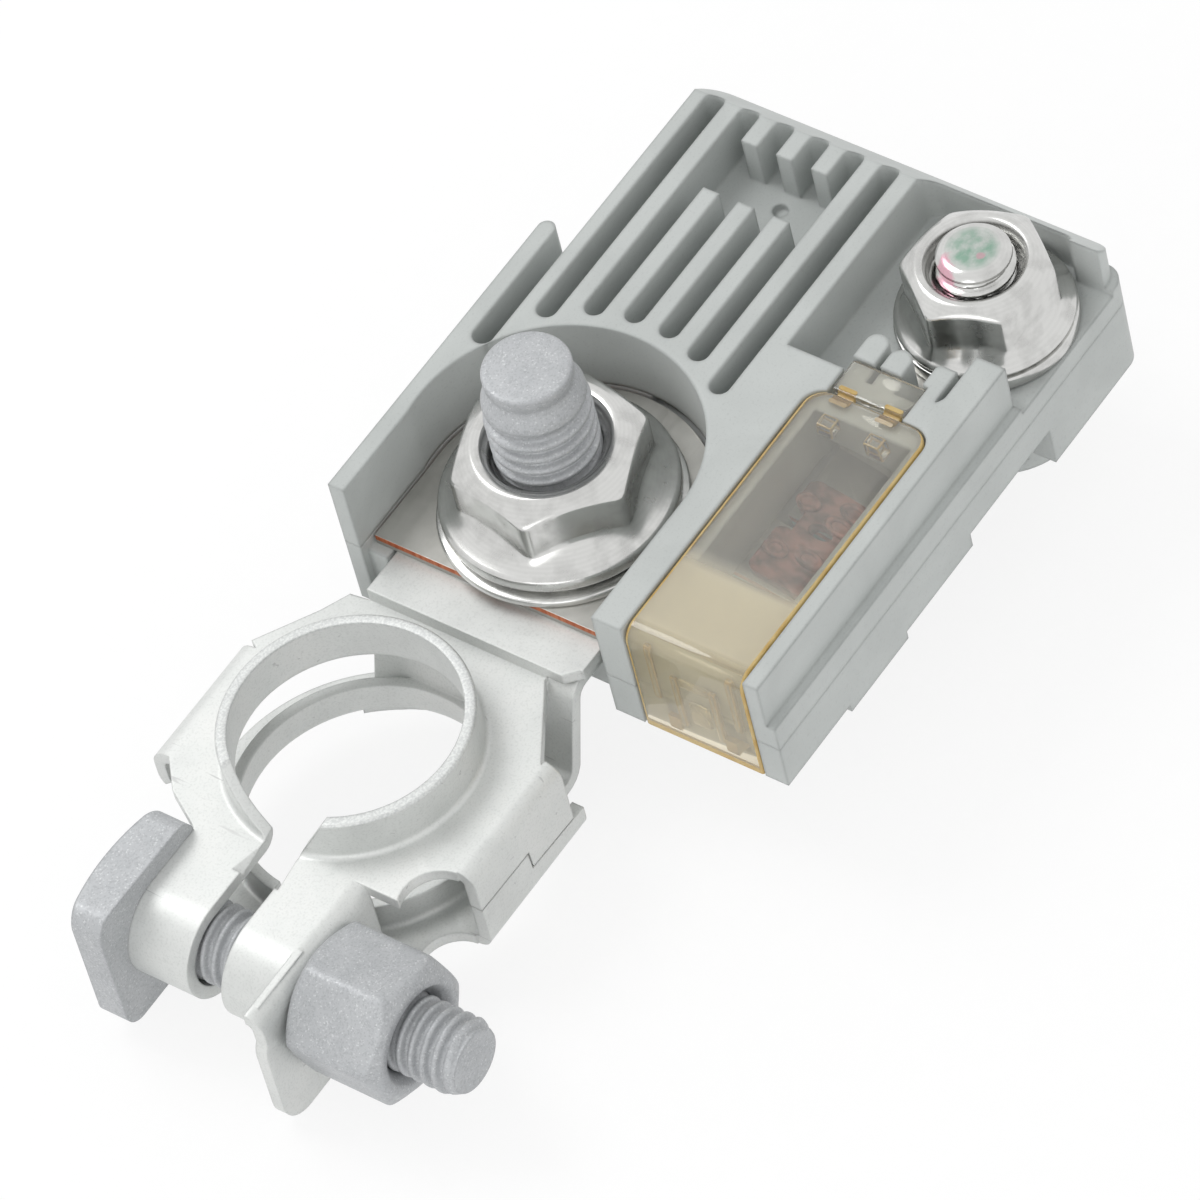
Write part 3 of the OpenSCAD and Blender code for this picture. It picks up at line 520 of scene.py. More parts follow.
@dataclass(frozen=True)
class MouldedNylon(Finish):
    """Glass-filled nylon, moulded in a spark-eroded tool: satin grey with a faint flow bloom."""

    name: str = "nylon_glass_filled_moulded_grey"
    colour: str = "BFC3C1"
    bloom: str = "B7BBB9"
    flow_mm: float = 9
    # The tool's grain is about 0.05 mm, drawn at 0.2 mm so that it shows
    grain_mm: float = 0.2
    edge_r: float = 0.5

    def inputs(self, add: Adder, place: Socket) -> dict[str, object]:
        """Works out the shader's inputs.

        Args:
            add: Adds a node to the material's tree.
            place: Object coordinates, in metres.

        Returns:
            The value or output for each input.
        """
        flow = add("TexNoise", place, Scale=per(self.flow_mm), Detail=4.0, Distortion=0.8)
        grain = add("TexNoise", place, Scale=per(self.grain_mm), Detail=2.0)
        tone = add("ValToRGB", flow, stops=((0.35, self.bloom), (0.6, self.colour)))
        fibre = add("ValToRGB", grain, stops=((0.25, "EBEBEB"), (0.45, "FFFFFF")))
        shown = add("Mix", 0.6, i6=tone, i7=fibre, **DARKENED)
        rough = add("MapRange", grain, 0.3, 0.7, 0.44, 0.54)
        edge = add("Bevel", self.edge_r * MM, samples=6)
        bump = add("Bump", Strength=0.14, Distance=0.02 * MM, Height=grain, Normal=edge)
        return dict(Base_Color=shown, IOR=1.53, Roughness=rough, Normal=bump)


@dataclass(frozen=True)
class ClearMoulding(Finish):
    """Polysulfone, injection moulded: clear with a faint milky haze, milkier at its thick front.

    Attributes:
        haze: The milky part's colour.
        clear: The clear part's colour.
        front: Where the milky front ends, in millimetres along the clamp.
        leg: Where the thin front leg ends.
        flow_mm: Size of the ripples that the melt left.
    """

    name: str = "polysulfone_moulded_clear"
    haze: str = "FCF3DA"
    clear: str = "FFFDF5"
    front: Pair = (19.6, 21.4)
    leg: Pair = (13.5, 14.2)
    flow_mm: float = 4

    def inputs(self, add: Adder, place: Socket) -> dict[str, object]:
        """Works out the shader's inputs.

        Args:
            add: Adds a node to the material's tree.
            place: Object coordinates, in metres.

        Returns:
            The value or output for each input.
        """
        flow = add("TexNoise", place, Scale=per(self.flow_mm), Detail=3.0)
        along = add("SeparateXYZ", place)
        ends = (self.front[0] * MM, self.front[1] * MM)
        milky = add("MapRange", along, *ends, 1.0, 0.0)
        tone = add("Mix", milky, i6=srgb(self.clear), i7=srgb(self.haze), **MIXED)
        through_top = add("MapRange", milky, 0.0, 1.0, 0.92, 0.64)
        ends = (self.leg[0] * MM, self.leg[1] * MM)
        through_leg = add("MapRange", along, *ends, 0.18, 0.0)
        through = add("Math", through_top, through_leg, operation="ADD")
        rough = add("MapRange", flow, 0.3, 0.7, 0.015, 0.035)
        bump = add("Bump", Strength=0.05, Distance=0.02 * MM, Height=flow)
        clear = dict(Transmission_Weight=through, IOR=1.58)
        return dict(Base_Color=tone, Roughness=rough, Normal=bump, **clear)


@dataclass(frozen=True)
class AmberEdge(Finish):
    """Edges and thick corners of the polysulfone moulding, where the eye looks along it: amber."""

    name: str = "polysulfone_moulded_amber_edge"
    colour: str = "DCC07E"
    deep: str = "CBA557"
    flow_mm: float = 1.2

    def inputs(self, add: Adder, place: Socket) -> dict[str, object]:
        """Works out the shader's inputs.

        Args:
            add: Adds a node to the material's tree.
            place: Object coordinates, in metres.

        Returns:
            The value or output for each input.
        """
        flow = add("TexNoise", place, Scale=per(self.flow_mm), Detail=3.0)
        tone = add("ValToRGB", flow, stops=((0.3, self.deep), (0.62, self.colour)))
        rough = add("MapRange", flow, 0.3, 0.7, 0.12, 0.2)
        return dict(Base_Color=tone, Transmission_Weight=0.25, IOR=1.58, Roughness=rough)


@dataclass(frozen=True)
class Paper(Finish):
    """Matte white paper backdrop with a faint fibre."""

    name: str = "paper_backdrop_matte_white"
    fibre_mm: float = 2.0

    def inputs(self, add: Adder, place: Socket) -> dict[str, object]:
        """Works out the shader's inputs.

        Args:
            add: Adds a node to the material's tree.
            place: Object coordinates, in metres.

        Returns:
            The value or output for each input.
        """
        fibre = add("TexNoise", place, Scale=per(self.fibre_mm), Detail=3.0)
        tone = add("ValToRGB", fibre, stops=((0.3, "FAFAFA"), (0.7, "FDFDFD")))
        return dict(Base_Color=tone, Roughness=0.9, Specular_IOR_Level=0.1)


def finished(
    mesh: Mesh, name: str, body: str, surface: Surface, node: str, *finishes: Material
) -> bpy.types.Object:
    """Makes a piece of a finished mesh on its body, hides its CAD node and logs it.

    Args:
        mesh: The mesh, with its place in its vertices.
        name: The piece's name.
        body: The body that it rides on.
        surface: The record's slot of its finish; not used.
        node: The CAD node that it stands for.
        *finishes: Its materials, in the order of its faces' numbers.

    Returns:
        The new object.
    """
    for finish in finishes:
        mesh.materials.append(finish)
    piece = bpy.data.objects.new(name, mesh)
    bpy.context.scene.collection.objects.link(piece)
    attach(piece, body)
    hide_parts(node)
    LOG.info("%s: %d faces, on %s", name, len(mesh.polygons), body)
    return piece


def applied(piece: bpy.types.Object) -> Mesh:
    """Applies a scratch object's modifiers and removes the object.

    Args:
        piece: The scratch object.

    Returns:
        Its evaluated mesh.
    """
    graph = bpy.context.evaluated_depsgraph_get()
    mesh = bpy.data.meshes.new_from_object(piece.evaluated_get(graph))
    bpy.data.objects.remove(piece)
    return mesh


@dataclass(frozen=True)
class Softening:
    """How the sharp edges of a CAD solid are rounded for the eye.

    Attributes:
        width: The rounding's width in millimetres.
        angle: Edges that turn by more than this many degrees are rounded.
        segments: Faces across the rounding.
    """

    width: float
    angle: float = 28.0
    segments: int = 3

    def mesh(self, node: str) -> Mesh:
        """Copies a CAD node's mesh with its edges rounded.

        Args:
            node: The node's name.

        Returns:
            The rounded mesh, smooth apart from its flats.
        """
        copy = frame["nodes"][node].data.copy()
        copy.materials.clear()
        work = bmesh.new()
        work.from_mesh(copy)
        bmesh.ops.remove_doubles(work, verts=work.verts, dist=2e-6)
        bmesh.ops.dissolve_degenerate(work, edges=work.edges, dist=1e-6)
        flat = math.radians(0.8)
        bmesh.ops.dissolve_limit(
            work, angle_limit=flat, verts=work.verts, edges=work.edges, delimit=set()
        )
        # A plate with a hole in it would fold over as one face once its edges are rounded
        bmesh.ops.triangulate(work, faces=work.faces, quad_method="BEAUTY", ngon_method="BEAUTY")
        for face in work.faces:
            face.smooth = True
        work.to_mesh(copy)
        work.free()
        scratch = bpy.data.objects.new(node + "_soft", copy)
        bpy.context.scene.collection.objects.link(scratch)
        bevel = scratch.modifiers.new("round", "BEVEL")
        bevel.width = self.width * MM
        bevel.segments = self.segments
        bevel.limit_method = "ANGLE"
        bevel.angle_limit = math.radians(self.angle)
        bevel.miter_outer = "MITER_ARC"
        normals = scratch.modifiers.new("normals", "WEIGHTED_NORMAL")
        normals.keep_sharp = True
        normals.weight = 90
        return applied(scratch)


class MeshMaker:
    """A Geometry Nodes tree with named inputs, which makes a plain mesh."""

    title = ""
    sockets: dict[str, str] = {}

    def __init__(self) -> None:
        """Builds the tree: its inputs, its shape, and the finish on the result."""
        self.tree = bpy.data.node_groups.new(self.title, "GeometryNodeTree")
        self.add = partial(add_node, self.tree)
        face = self.tree.interface
        face.new_socket(name="Geometry", in_out="OUTPUT", socket_type="NodeSocketGeometry")
        face.new_socket(name="Geometry", in_out="INPUT", socket_type="NodeSocketGeometry")
        self.ids = {
            name: face.new_socket(name=name, in_out="INPUT", socket_type=kind).identifier
            for name, kind in {**self.sockets, "Finish": "NodeSocketMaterial"}.items()
        }
        entry = self.add("NodeGroupInput").node.outputs
        whole = self.add("GeometryNodeRealizeInstances", self.fill(entry))
        dressed = self.add("GeometryNodeSetMaterial", whole, Material=entry["Finish"])
        feed(self.tree.nodes.new("NodeGroupOutput"), dressed)

    def fill(self, entry: bpy.types.NodeOutputs) -> Socket:
        """Adds the nodes that make the shape.

        Args:
            entry: The tree's inputs.

        Returns:
            The shape.
        """
        raise NotImplementedError

    def run(self, points: list[Vector], values: dict[str, object]) -> Mesh:
        """Runs the tree.

        Args:
            points: The loose points that go into it, in metres.
            values: Its inputs by name, lengths in metres.

        Returns:
            What it makes, as a plain mesh.
        """
        start = bpy.data.meshes.new(self.title)
        start.from_pydata(points, [], [])
        scratch = bpy.data.objects.new(self.title, start)
        bpy.context.scene.collection.objects.link(scratch)
        modifier = scratch.modifiers.new(self.title, "NODES")
        modifier.node_group = self.tree
        for name, value in values.items():
            modifier[self.ids[name]] = value
        return applied(scratch)


@dataclass(frozen=True)
class ThreadSize:
    """Sizes of a thread: its crests' radius, its depth, its rise in a turn, and its run-out."""

    crest_r: float
    depth: float
    pitch: float
    run_out: float


class ScrewThread(MeshMaker):
    """A tree that bends a fine tube into a screw thread."""

    title = "screw_thread"
    sockets = {
        "Crest radius": "NodeSocketFloat",
        "Depth": "NodeSocketFloat",
        "Pitch": "NodeSocketFloat",
        "Length": "NodeSocketFloat",
        "Lead-in": "NodeSocketFloat",
        "Rings": "NodeSocketInt",
    }
    rings_per_turn = 18
    fewest_rings = 24

    def fill(self, entry: bpy.types.NodeOutputs) -> Socket:
        """Adds a tube, its turning phase, the flank's height and the run-out at the end.

        Args:
            entry: The tree's inputs.

        Returns:
            The thread.
        """
        add = self.add
        tube = add(
            "GeometryNodeMeshCylinder",
            fill_type="NGON",
            Vertices=56,
            Side_Segments=entry["Rings"],
            Radius=entry["Crest radius"],
            Depth=entry["Length"],
        )
        place = add("GeometryNodeInputPosition")
        axes = add("SeparateXYZ", place).node.outputs
        turn = add("Math", axes["Y"], axes["X"], operation="ARCTAN2")
        turns = add("Math", turn, math.tau, operation="DIVIDE")
        rise = add("Math", axes["Z"], entry["Pitch"], operation="DIVIDE")
        phase = add("Math", rise, turns, operation="SUBTRACT")
        saw = add("Math", phase, 1.0, operation="FLOORED_MODULO")
        ridge = add("Math", saw, 0.5, operation="PINGPONG")
        slope = (0.1, 0.4, 1.0, 0.0)
        flank = add("MapRange", ridge, *slope, interpolation_type="SMOOTHSTEP")
        half = add("Math", entry["Length"], 0.5, operation="MULTIPLY")
        left = add("Math", half, axes["Z"], operation="SUBTRACT")
        lead = add("MapRange", left, 0.0, entry["Lead-in"], 1.0, 0.0)
        deepest = add("Math", flank, lead, operation="MAXIMUM")
        cut = add("Math", deepest, entry["Depth"], operation="MULTIPLY")
        radius = add("Math", entry["Crest radius"], cut, operation="SUBTRACT")
        share = add("Math", radius, entry["Crest radius"], operation="DIVIDE")
        scale = add("CombineXYZ", share, share, 1.0)
        moved = add("VectorMath", place, scale, operation="MULTIPLY")
        return add("GeometryNodeSetPosition", tube, Position=moved)

    def mesh(self, size: ThreadSize, length: float, finish: Material) -> Mesh:
        """Makes one thread about the Z axis, with its middle at the origin.

        Args:
            size: The thread's sizes, in millimetres; it runs out at its upper end.
            length: Length of the threaded stretch.
            finish: The material.

        Returns:
            The thread as a closed mesh in metres.
        """
        values = {
            "Crest radius": size.crest_r * MM,
            "Depth": size.depth * MM,
            "Pitch": size.pitch * MM,
            "Length": length * MM,
            "Lead-in": size.run_out * MM,
            "Rings": max(self.fewest_rings, int(length / size.pitch * self.rings_per_turn)),
            "Finish": finish,
        }
        return self.run([], values)


class RivetRow(MeshMaker):
    """A tree that sets a rivet with a rolled, hollow head on every point of a mesh."""

    title = "rivet_row"
    sockets = {
        "Head radius": "NodeSocketFloat",
        "Bead radius": "NodeSocketFloat",
        "Shank radius": "NodeSocketFloat",
        "Shank length": "NodeSocketFloat",
    }

    def fill(self, entry: bpy.types.NodeOutputs) -> Socket:
        """Adds a shank, the bead rolled around its head, and one of both on every point.

        Args:
            entry: The tree's inputs.

        Returns:
            The rivets, as instances.
        """
        add, depth, bead_r = self.add, entry["Shank length"], entry["Bead radius"]
        half = add("Math", depth, -0.5, operation="MULTIPLY")
        down = add("CombineXYZ", Z=half)
        shank_r = entry["Shank radius"]
        shank = add("GeometryNodeMeshCylinder", Vertices=24, Radius=shank_r, Depth=depth)
        sunk = add("GeometryNodeTransform", shank, Translation=down)
        inset = add("Math", entry["Head radius"], bead_r, operation="SUBTRACT")
        ring = add("GeometryNodeCurvePrimitiveCircle", Resolution=32, Radius=inset)
        bead = add("GeometryNodeCurvePrimitiveCircle", Resolution=12, Radius=bead_r)
        roll = add("GeometryNodeCurveToMesh", ring, bead)
        rivet = add("GeometryNodeJoinGeometry", sunk)
        feed(rivet.node, roll)
        return add("GeometryNodeInstanceOnPoints", entry["Geometry"], Instance=rivet)

    def mesh(self, spots: list[Vector], sizes: dict[str, float], finish: Material) -> Mesh:
        """Makes the rivets.

        Args:
            spots: Where the heads' seats are, in metres.
            sizes: The tree's sizes by name, in millimetres.
            finish: The material.

        Returns:
            The rivets as one mesh of closed solids.
        """
        values = {name: size * MM for name, size in sizes.items()}
        return self.run(spots, {**values, "Finish": finish})


def lofted(rings: list[list[Vector]], capped: bool = True, looped: bool = False) -> Solid:
    """Joins closed rings of points into a solid.

    Args:
        rings: The rings, with as many points each; a ring of one point is a pole.
        capped: Whether the first and the last ring are filled.
        looped: Whether the last ring is joined to the first.

    Returns:
        The closed solid, its faces in the order of the rings and of the points, then its caps.
    """
    work = bmesh.new()
    rows = [[work.verts.new(point) for point in ring] for ring in rings]
    size = max(len(row) for row in rows)
    for low, high in zip(rows, rows[1:] + rows[:1] if looped else rows[1:]):
        for k in range(size):
            j = (k + 1) % size
            below = (low[k % len(low)], low[j % len(low)])
            above = (high[j % len(high)], high[k % len(high)])
            unique = list(dict.fromkeys(below + above))
            if len(unique) > 2:
                work.faces.new(unique)
    if capped:
        work.faces.new(rows[0])
        work.faces.new(rows[-1])
    bmesh.ops.recalc_face_normals(work, faces=work.faces)
    return work


def turned(profile: list[Pair], steps: int = 72) -> Solid:
    """Turns a profile about the Z axis into a closed solid.

    Args:
        profile: Radius and height pairs in millimetres, from the bottom's middle to the top's.
        steps: Faces around.

    Returns:
        The solid, in metres.
    """
    turns = [math.tau * i / steps for i in range(steps)]
    return lofted(
        [
            [
                Vector((radius * math.cos(a), radius * math.sin(a), height)) * MM
                for a in (turns if radius else turns[:1])
            ]
            for radius, height in profile
        ],
        capped=False,
    )


@dataclass(frozen=True)
class FormedNut:
    """A cold-formed nut, whose hexagon is cut by a cone at its top.

    Attributes:
        flats: Width across the flats.
        height: Whole height.
        flange_r: Radius of the flange, or 0 where the nut has none.
        bore_r: Radius of the threaded hole.
        rim: Height of the flange at its rim.
        land_r: Radius of the flat ring on top, where the cone begins.
        turn: How far the hexagon is turned, in degrees.
        cone: Slope of the cone, in degrees.
        sharpness: How little the hexagon's corners are rounded.
        steps: Faces around.
        lift: How far its underside stays off its seat, so that the two don't cut each other.
    """

    flats: float
    height: float
    flange_r: float
    bore_r: float
    rim: float
    land_r: float
    turn: float
    cone: float = 31.0
    sharpness: int = 40
    steps: int = 144
    lift: float = 0.02

    def hexagon(self, angle: float) -> float:
        """Gives the hexagon's radius at an angle, with its corners a little rounded.

        Args:
            angle: The angle about the axis, in radians.

        Returns:
            The radius in millimetres.
        """
        start = math.radians(self.turn + 30)
        shares = (math.cos(angle - start - i * math.pi / 3) for i in range(6))
        # Only the flats on this side count
        total = sum((2 * share / self.flats) ** self.sharpness for share in shares if share > 0.2)
        return total ** (-1 / self.sharpness)

    def heel(self, edge: float) -> list[Pair]:
        """Gives the lower edge of a nut without a flange, cut by the same cone.

        Args:
            edge: The hexagon's radius here.

        Returns:
            Radius and height pairs.
        """
        rise = math.tan(math.radians(self.cone)) * (edge - self.land_r)
        return [
            (self.land_r, self.lift),
            (edge - 0.3, max(self.lift, rise - 0.16)),
            (edge - 0.06, rise + 0.06),
            (edge, rise + 0.25),
        ]

    def flange(self, edge: float) -> list[Pair]:
        """Gives the flange, thin at its rim and rising to the hexagon's foot.

        Args:
            edge: The hexagon's radius here.

        Returns:
            Radius and height pairs.
        """
        brim = self.flange_r - 0.35
        slope = 1.5 / (brim - self.flats / 2 + 0.2)
        foot = self.rim + slope * (brim - edge)
        return [
            (self.flange_r - 0.25, self.lift),
            (self.flange_r - 0.06, 0.08),
            (self.flange_r, 0.25),
            (self.flange_r, self.rim - 0.28),
            (self.flange_r - 0.09, self.rim - 0.08),
            (brim, self.rim),
            (edge + 0.5, foot - 0.5 * slope),
            (edge + 0.22, foot - 0.08 * slope + 0.02),
            (edge + 0.07, foot + 0.14),
            (edge, foot + 0.4),
        ]

    def profile(self, angle: float) -> list[Pair]:
        """Gives the nut's outline at an angle, from its underside round to its hole.

        Args:
            angle: The angle about the axis, in radians.

        Returns:
            Radius and height pairs; every angle has as many.
        """
        edge = self.hexagon(angle)
        brow = self.height - math.tan(math.radians(self.cone)) * (edge - self.land_r)
        return [
            (self.bore_r, self.lift),
            *(self.flange(edge) if self.flange_r else self.heel(edge)),
            (edge, brow - 0.34),
            (edge - 0.05, brow - 0.14),
            (edge - 0.17, brow + 0.03),
            (edge - 0.36, brow + 0.18),
            (self.land_r + 0.22, self.height - 0.15),
            (self.land_r + 0.06, self.height - 0.03),
            (self.land_r - 0.08, self.height),
            (self.bore_r + 0.88, self.height),
            (self.bore_r + 0.78, self.height - 0.06),
            (self.bore_r, self.height - 0.95),
        ]

    def solid(self) -> Solid:
        """Builds the nut on the plane z = 0, about the Z axis.

        Returns:
            The closed solid, in metres.
        """
        rows = []
        for i in range(self.steps):
            a = math.tau * i / self.steps
            outline = self.profile(a)
            rows.append([Vector((r * math.cos(a), r * math.sin(a), z)) * MM for r, z in outline])
        return lofted(rows, capped=False, looped=True)


def boxed(low: Spot, high: Spot, rounding: float) -> Solid:
    """Makes a block with rounded edges between two corners.

    Args:
        low: The lowest corner, in millimetres from the clamp's underside.
        high: The highest corner.
        rounding: Width of the rounding.

    Returns:
        The closed block, in metres.
    """
    work = bmesh.new()
    bmesh.ops.create_cube(work, size=1.0)
    centre = (at(*low) + at(*high)) / 2
    reach = at(*high) - at(*low)
    place = Matrix.Translation(centre) @ Matrix.Diagonal((*reach, 1.0))
    bmesh.ops.transform(work, matrix=place, verts=work.verts)
    bmesh.ops.bevel(
        work, geom=work.edges[:], offset=rounding * MM, segments=2, affect="EDGES", profile=0.5
    )
    bmesh.ops.recalc_face_normals(work, faces=work.faces)
    return work


def joined(parts: list[tuple[Mesh | Solid, Matrix]], name: str, creases: float = 32.0) -> Mesh:
    """Joins meshes into one, each moved by its own matrix.

    Args:
        parts: The meshes with their matrices.
        name: Name of the new mesh.
        creases: Edges that turn by more than this many degrees stay sharp.

    Returns:
        The joined mesh.
    """
    whole = bmesh.new()
    for part, matrix in parts:
        piece = part
        if isinstance(part, Solid):
            piece = bpy.data.meshes.new(name + "_part")
            part.to_mesh(piece)
            part.free()
        copy = piece.copy()
        copy.transform(matrix)
        whole.from_mesh(copy)
        bpy.data.meshes.remove(copy)
    for face in whole.faces:
        face.smooth = True
    mesh = bpy.data.meshes.new(name)
    whole.to_mesh(mesh)
    whole.free()
    mesh.set_sharp_from_angle(angle=math.radians(creases))
    return mesh


# Formed hexagons keep their flats' soft borders smooth
HEXAGON_CREASE = 60.0


@dataclass
class ClampSheet:
    """The folded sheet that grips the battery post."""

    rounding: Softening = Softening(0.22)
    finish: TinnedSheet = TinnedSheet()

    def build(self) -> None:
        """Builds and dresses the sheet."""
        mesh, tin = self.rounding.mesh("clamp_body"), self.finish.build()
        finished(mesh, "clamp_sheet", "clamp", Surface.TINNED_SHEET, "clamp_body", tin)


@dataclass
class ClampScrew:
    """The clamp bolt with its broad head, and its tall nut."""

    bolt_x: float = -16.0
    bolt_z: float = 4.2
    head_face_y: float = 6.3
    head_cut: float = 0.4
    rounding: Softening = Softening(0.35, segments=4)
    length: float = 27.0
    size: ThreadSize = ThreadSize(2.94, 0.52, 1.0, 1.0)
    clearance: float = 0.05
    seat_y: float = -7.8
    nut: FormedNut = FormedNut(10.0, 8.2, 0.0, 3.0, 0.0, 4.45, -12.0)

    def place(self, y: float) -> Matrix:
        """Lays a shape that was made about the Z axis along the bolt's, at this Y."""
        lying = Matrix.Rotation(math.pi / 2, 4, "X")
        return Matrix.Translation(at(self.bolt_x, y, self.bolt_z)) @ lying

    def build(self, thread: ScrewThread, finish: Material) -> None:
        """Builds and dresses the bolt and the nut.

        Args:
            thread: The tree that makes threads.
            finish: The material.
        """
        head = bmesh.new()
        head.from_mesh(self.rounding.mesh("clamp_bolt"))
        low = (self.head_face_y - self.head_cut) * MM
        bmesh.ops.delete(head, geom=[v for v in head.verts if v.co.y < low], context="VERTS")
        bmesh.ops.holes_fill(head, edges=[e for e in head.edges if e.is_boundary], sides=0)
        screw = thread.mesh(self.size, self.length - self.clearance, finish)
        shank = (screw, self.place(self.head_face_y - self.length / 2))
        bolt = joined([(head, Matrix()), shank], "clamp_bolt_dressed")
        finished(bolt, "clamp_bolt_threaded", "bolt", Surface.ZINC_FLAKE, "clamp_bolt", finish)
        nut = (self.nut.solid(), self.place(self.seat_y))
        nut = joined([nut], "clamp_nut_dressed", HEXAGON_CREASE)
        finished(nut, "clamp_nut_formed", "tall_nut", Surface.ZINC_FLAKE, "clamp_nut", finish)


@dataclass
class StudTerminal:
    """A threaded stud with its cone washer and flange nut.

    Attributes:
        name: What the names of its nodes, bodies and pieces begin with.
        x: The axis along the clamp.
        y: The axis across the clamp.
        foot_z: Underside of the stud's head.
        plate_z: Top of the head, where the thread begins.
        thread_end_z: Where the thread ends.
        top_z: Top of the stud.
        head_r: Radius of the head.
        head_bevel: Bevel under the head.
        size: The thread's sizes.
        nut_z: The nut's seat.
        nut: The nut's shape.
        bright: Finish of the nut and the washer.
        washer: How the washer's edges are rounded.
    """

    name: str
    x: float
    y: float
    foot_z: float
    plate_z: float
    thread_end_z: float
    top_z: float
    head_r: float
    head_bevel: float
    size: ThreadSize
    nut_z: float
    nut: FormedNut
    bright: BrightSteel
    washer: Softening = Softening(0.15)

    def tip(self) -> list[Pair]:
        """Gives the outline of the stud's end, above the thread's root."""
        raise NotImplementedError

    def build(self, thread: ScrewThread, finish: Material, surface: Surface) -> None:
        """Builds and dresses the stud, the washer and the nut.

        Args:
            thread: The tree that makes threads.
            finish: The stud's material.
            surface: The record's slot of the stud's finish.
        """
        root = self.size.crest_r - self.size.depth
        body = turned(
            [
                (0, self.foot_z),
                (self.head_r - self.head_bevel, self.foot_z),
                (self.head_r, self.foot_z + self.head_bevel),
                (self.head_r, self.plate_z),
                (root, self.plate_z),
                *self.tip(),
                (0, self.top_z),
            ]
        )
        length = self.thread_end_z - self.plate_z
        screw = thread.mesh(self.size, length, finish)
        here = Matrix.Translation(at(self.x, self.y, 0.0))
        middle = Matrix.Translation(at(self.x, self.y, self.plate_z + length / 2))
        name, bright = self.name, self.bright.build()
        stud = joined([(body, here), (screw, middle)], f"{name}_stud_dressed")
        finished(stud, f"{name}_stud_threaded", "clamp", surface, f"{name}_stud", finish)
        steel = Surface.BRIGHT_STEEL
        washer = self.washer.mesh(f"{name}_washer")
        finished(washer, f"{name}_washer_soft", f"{name}_cone", steel, f"{name}_washer", bright)
        seat = Matrix.Translation(at(self.x, self.y, self.nut_z))
        nut = joined([(self.nut.solid(), seat)], f"{name}_nut_dressed", HEXAGON_CREASE)
        finished(nut, f"{name}_nut_formed", f"{name}_hexagon", steel, f"{name}_nut", bright)


@dataclass
class MainTerminal(StudTerminal):
    """The tall stud, whose thread ends in a domed neck and a plain pilot."""

    name: str = "main"
    x: float = 23.7
    y: float = -2.3
    foot_z: float = 5.4
    plate_z: float = 7.6
    thread_end_z: float = 22.9
    top_z: float = 26.2
    head_r: float = 5.4
    head_bevel: float = 0.4
    size: ThreadSize = ThreadSize(3.94, 0.62, 1.25, 0.9)
    nut_z: float = 11.7
    nut: FormedNut = FormedNut(13.0, 6.5, 8.8, 4.0, 1.2, 5.5, 20.0)
    bright: BrightSteel = BrightSteel("steel_formed_bright_plated_main", (23.7, -2.3, 12.0))
    pilot_r: float = 3.3
    neck_z: float = 24.75

    def tip(self) -> list[Pair]:
        """Gives the outline of the stud's end: the dome, the neck and the pilot.

        Returns:
            Radius and height pairs.
        """
        crest, end = self.size.crest_r, self.thread_end_z
        pilot, neck, top = self.pilot_r, self.neck_z, self.top_z
        return [
            (crest - self.size.depth, end - 0.3),
            (crest - 0.3, end),
            (crest - 0.14, end + 0.22),
            (crest - 0.16, end + 0.45),
            (crest - 0.34, neck - 1.0),
            (pilot + 0.02, neck - 0.45),
            (pilot - 0.17, neck - 0.1),
            (pilot - 0.19, neck + 0.12),
            (pilot - 0.06, neck + 0.4),
            (pilot, neck + 0.6),
            (pilot, top - 0.2),
            (pilot - 0.05, top - 0.08),
            (pilot - 0.14, top - 0.02),
            (pilot - 0.26, top),
        ]


@dataclass
class LoadTerminal(StudTerminal):
    """The short stud at the housing's rear, with inspection paint on its end."""

    name: str = "load"
    x: float = 50.4
    y: float = -21.5
    foot_z: float = 9.5
    plate_z: float = 11.5
    thread_end_z: float = 19.5
    top_z: float = 20.5
    head_r: float = 4.4
    head_bevel: float = 0.3
    size: ThreadSize = ThreadSize(2.94, 0.5, 1.0, 0.5)
    nut_z: float = 13.7
    nut: FormedNut = FormedNut(10.0, 5.6, 6.6, 3.0, 0.6, 4.3, -7.0)
    bright: BrightSteel = BrightSteel("steel_formed_bright_plated_load", (50.4, -21.5, 14.0))
    marked: BrightSteel = BrightSteel(
        "steel_turned_bright_plated_marked", (50.4, -21.5, 14.0), marks_z=20.5
    )

    def tip(self) -> list[Pair]:
        """Gives the outline of the stud's end: a rounded cone.

        Returns:
            Radius and height pairs.
        """
        crest, root, top = self.size.crest_r, self.size.crest_r - self.size.depth, self.top_z
        return [
            (root, self.thread_end_z),
            (crest - 0.16, top - 0.72),
            (crest - 0.18, top - 0.5),
            (root + 0.08, top - 0.22),
            (root - 0.2, top - 0.06),
            (root - 0.48, top),
        ]


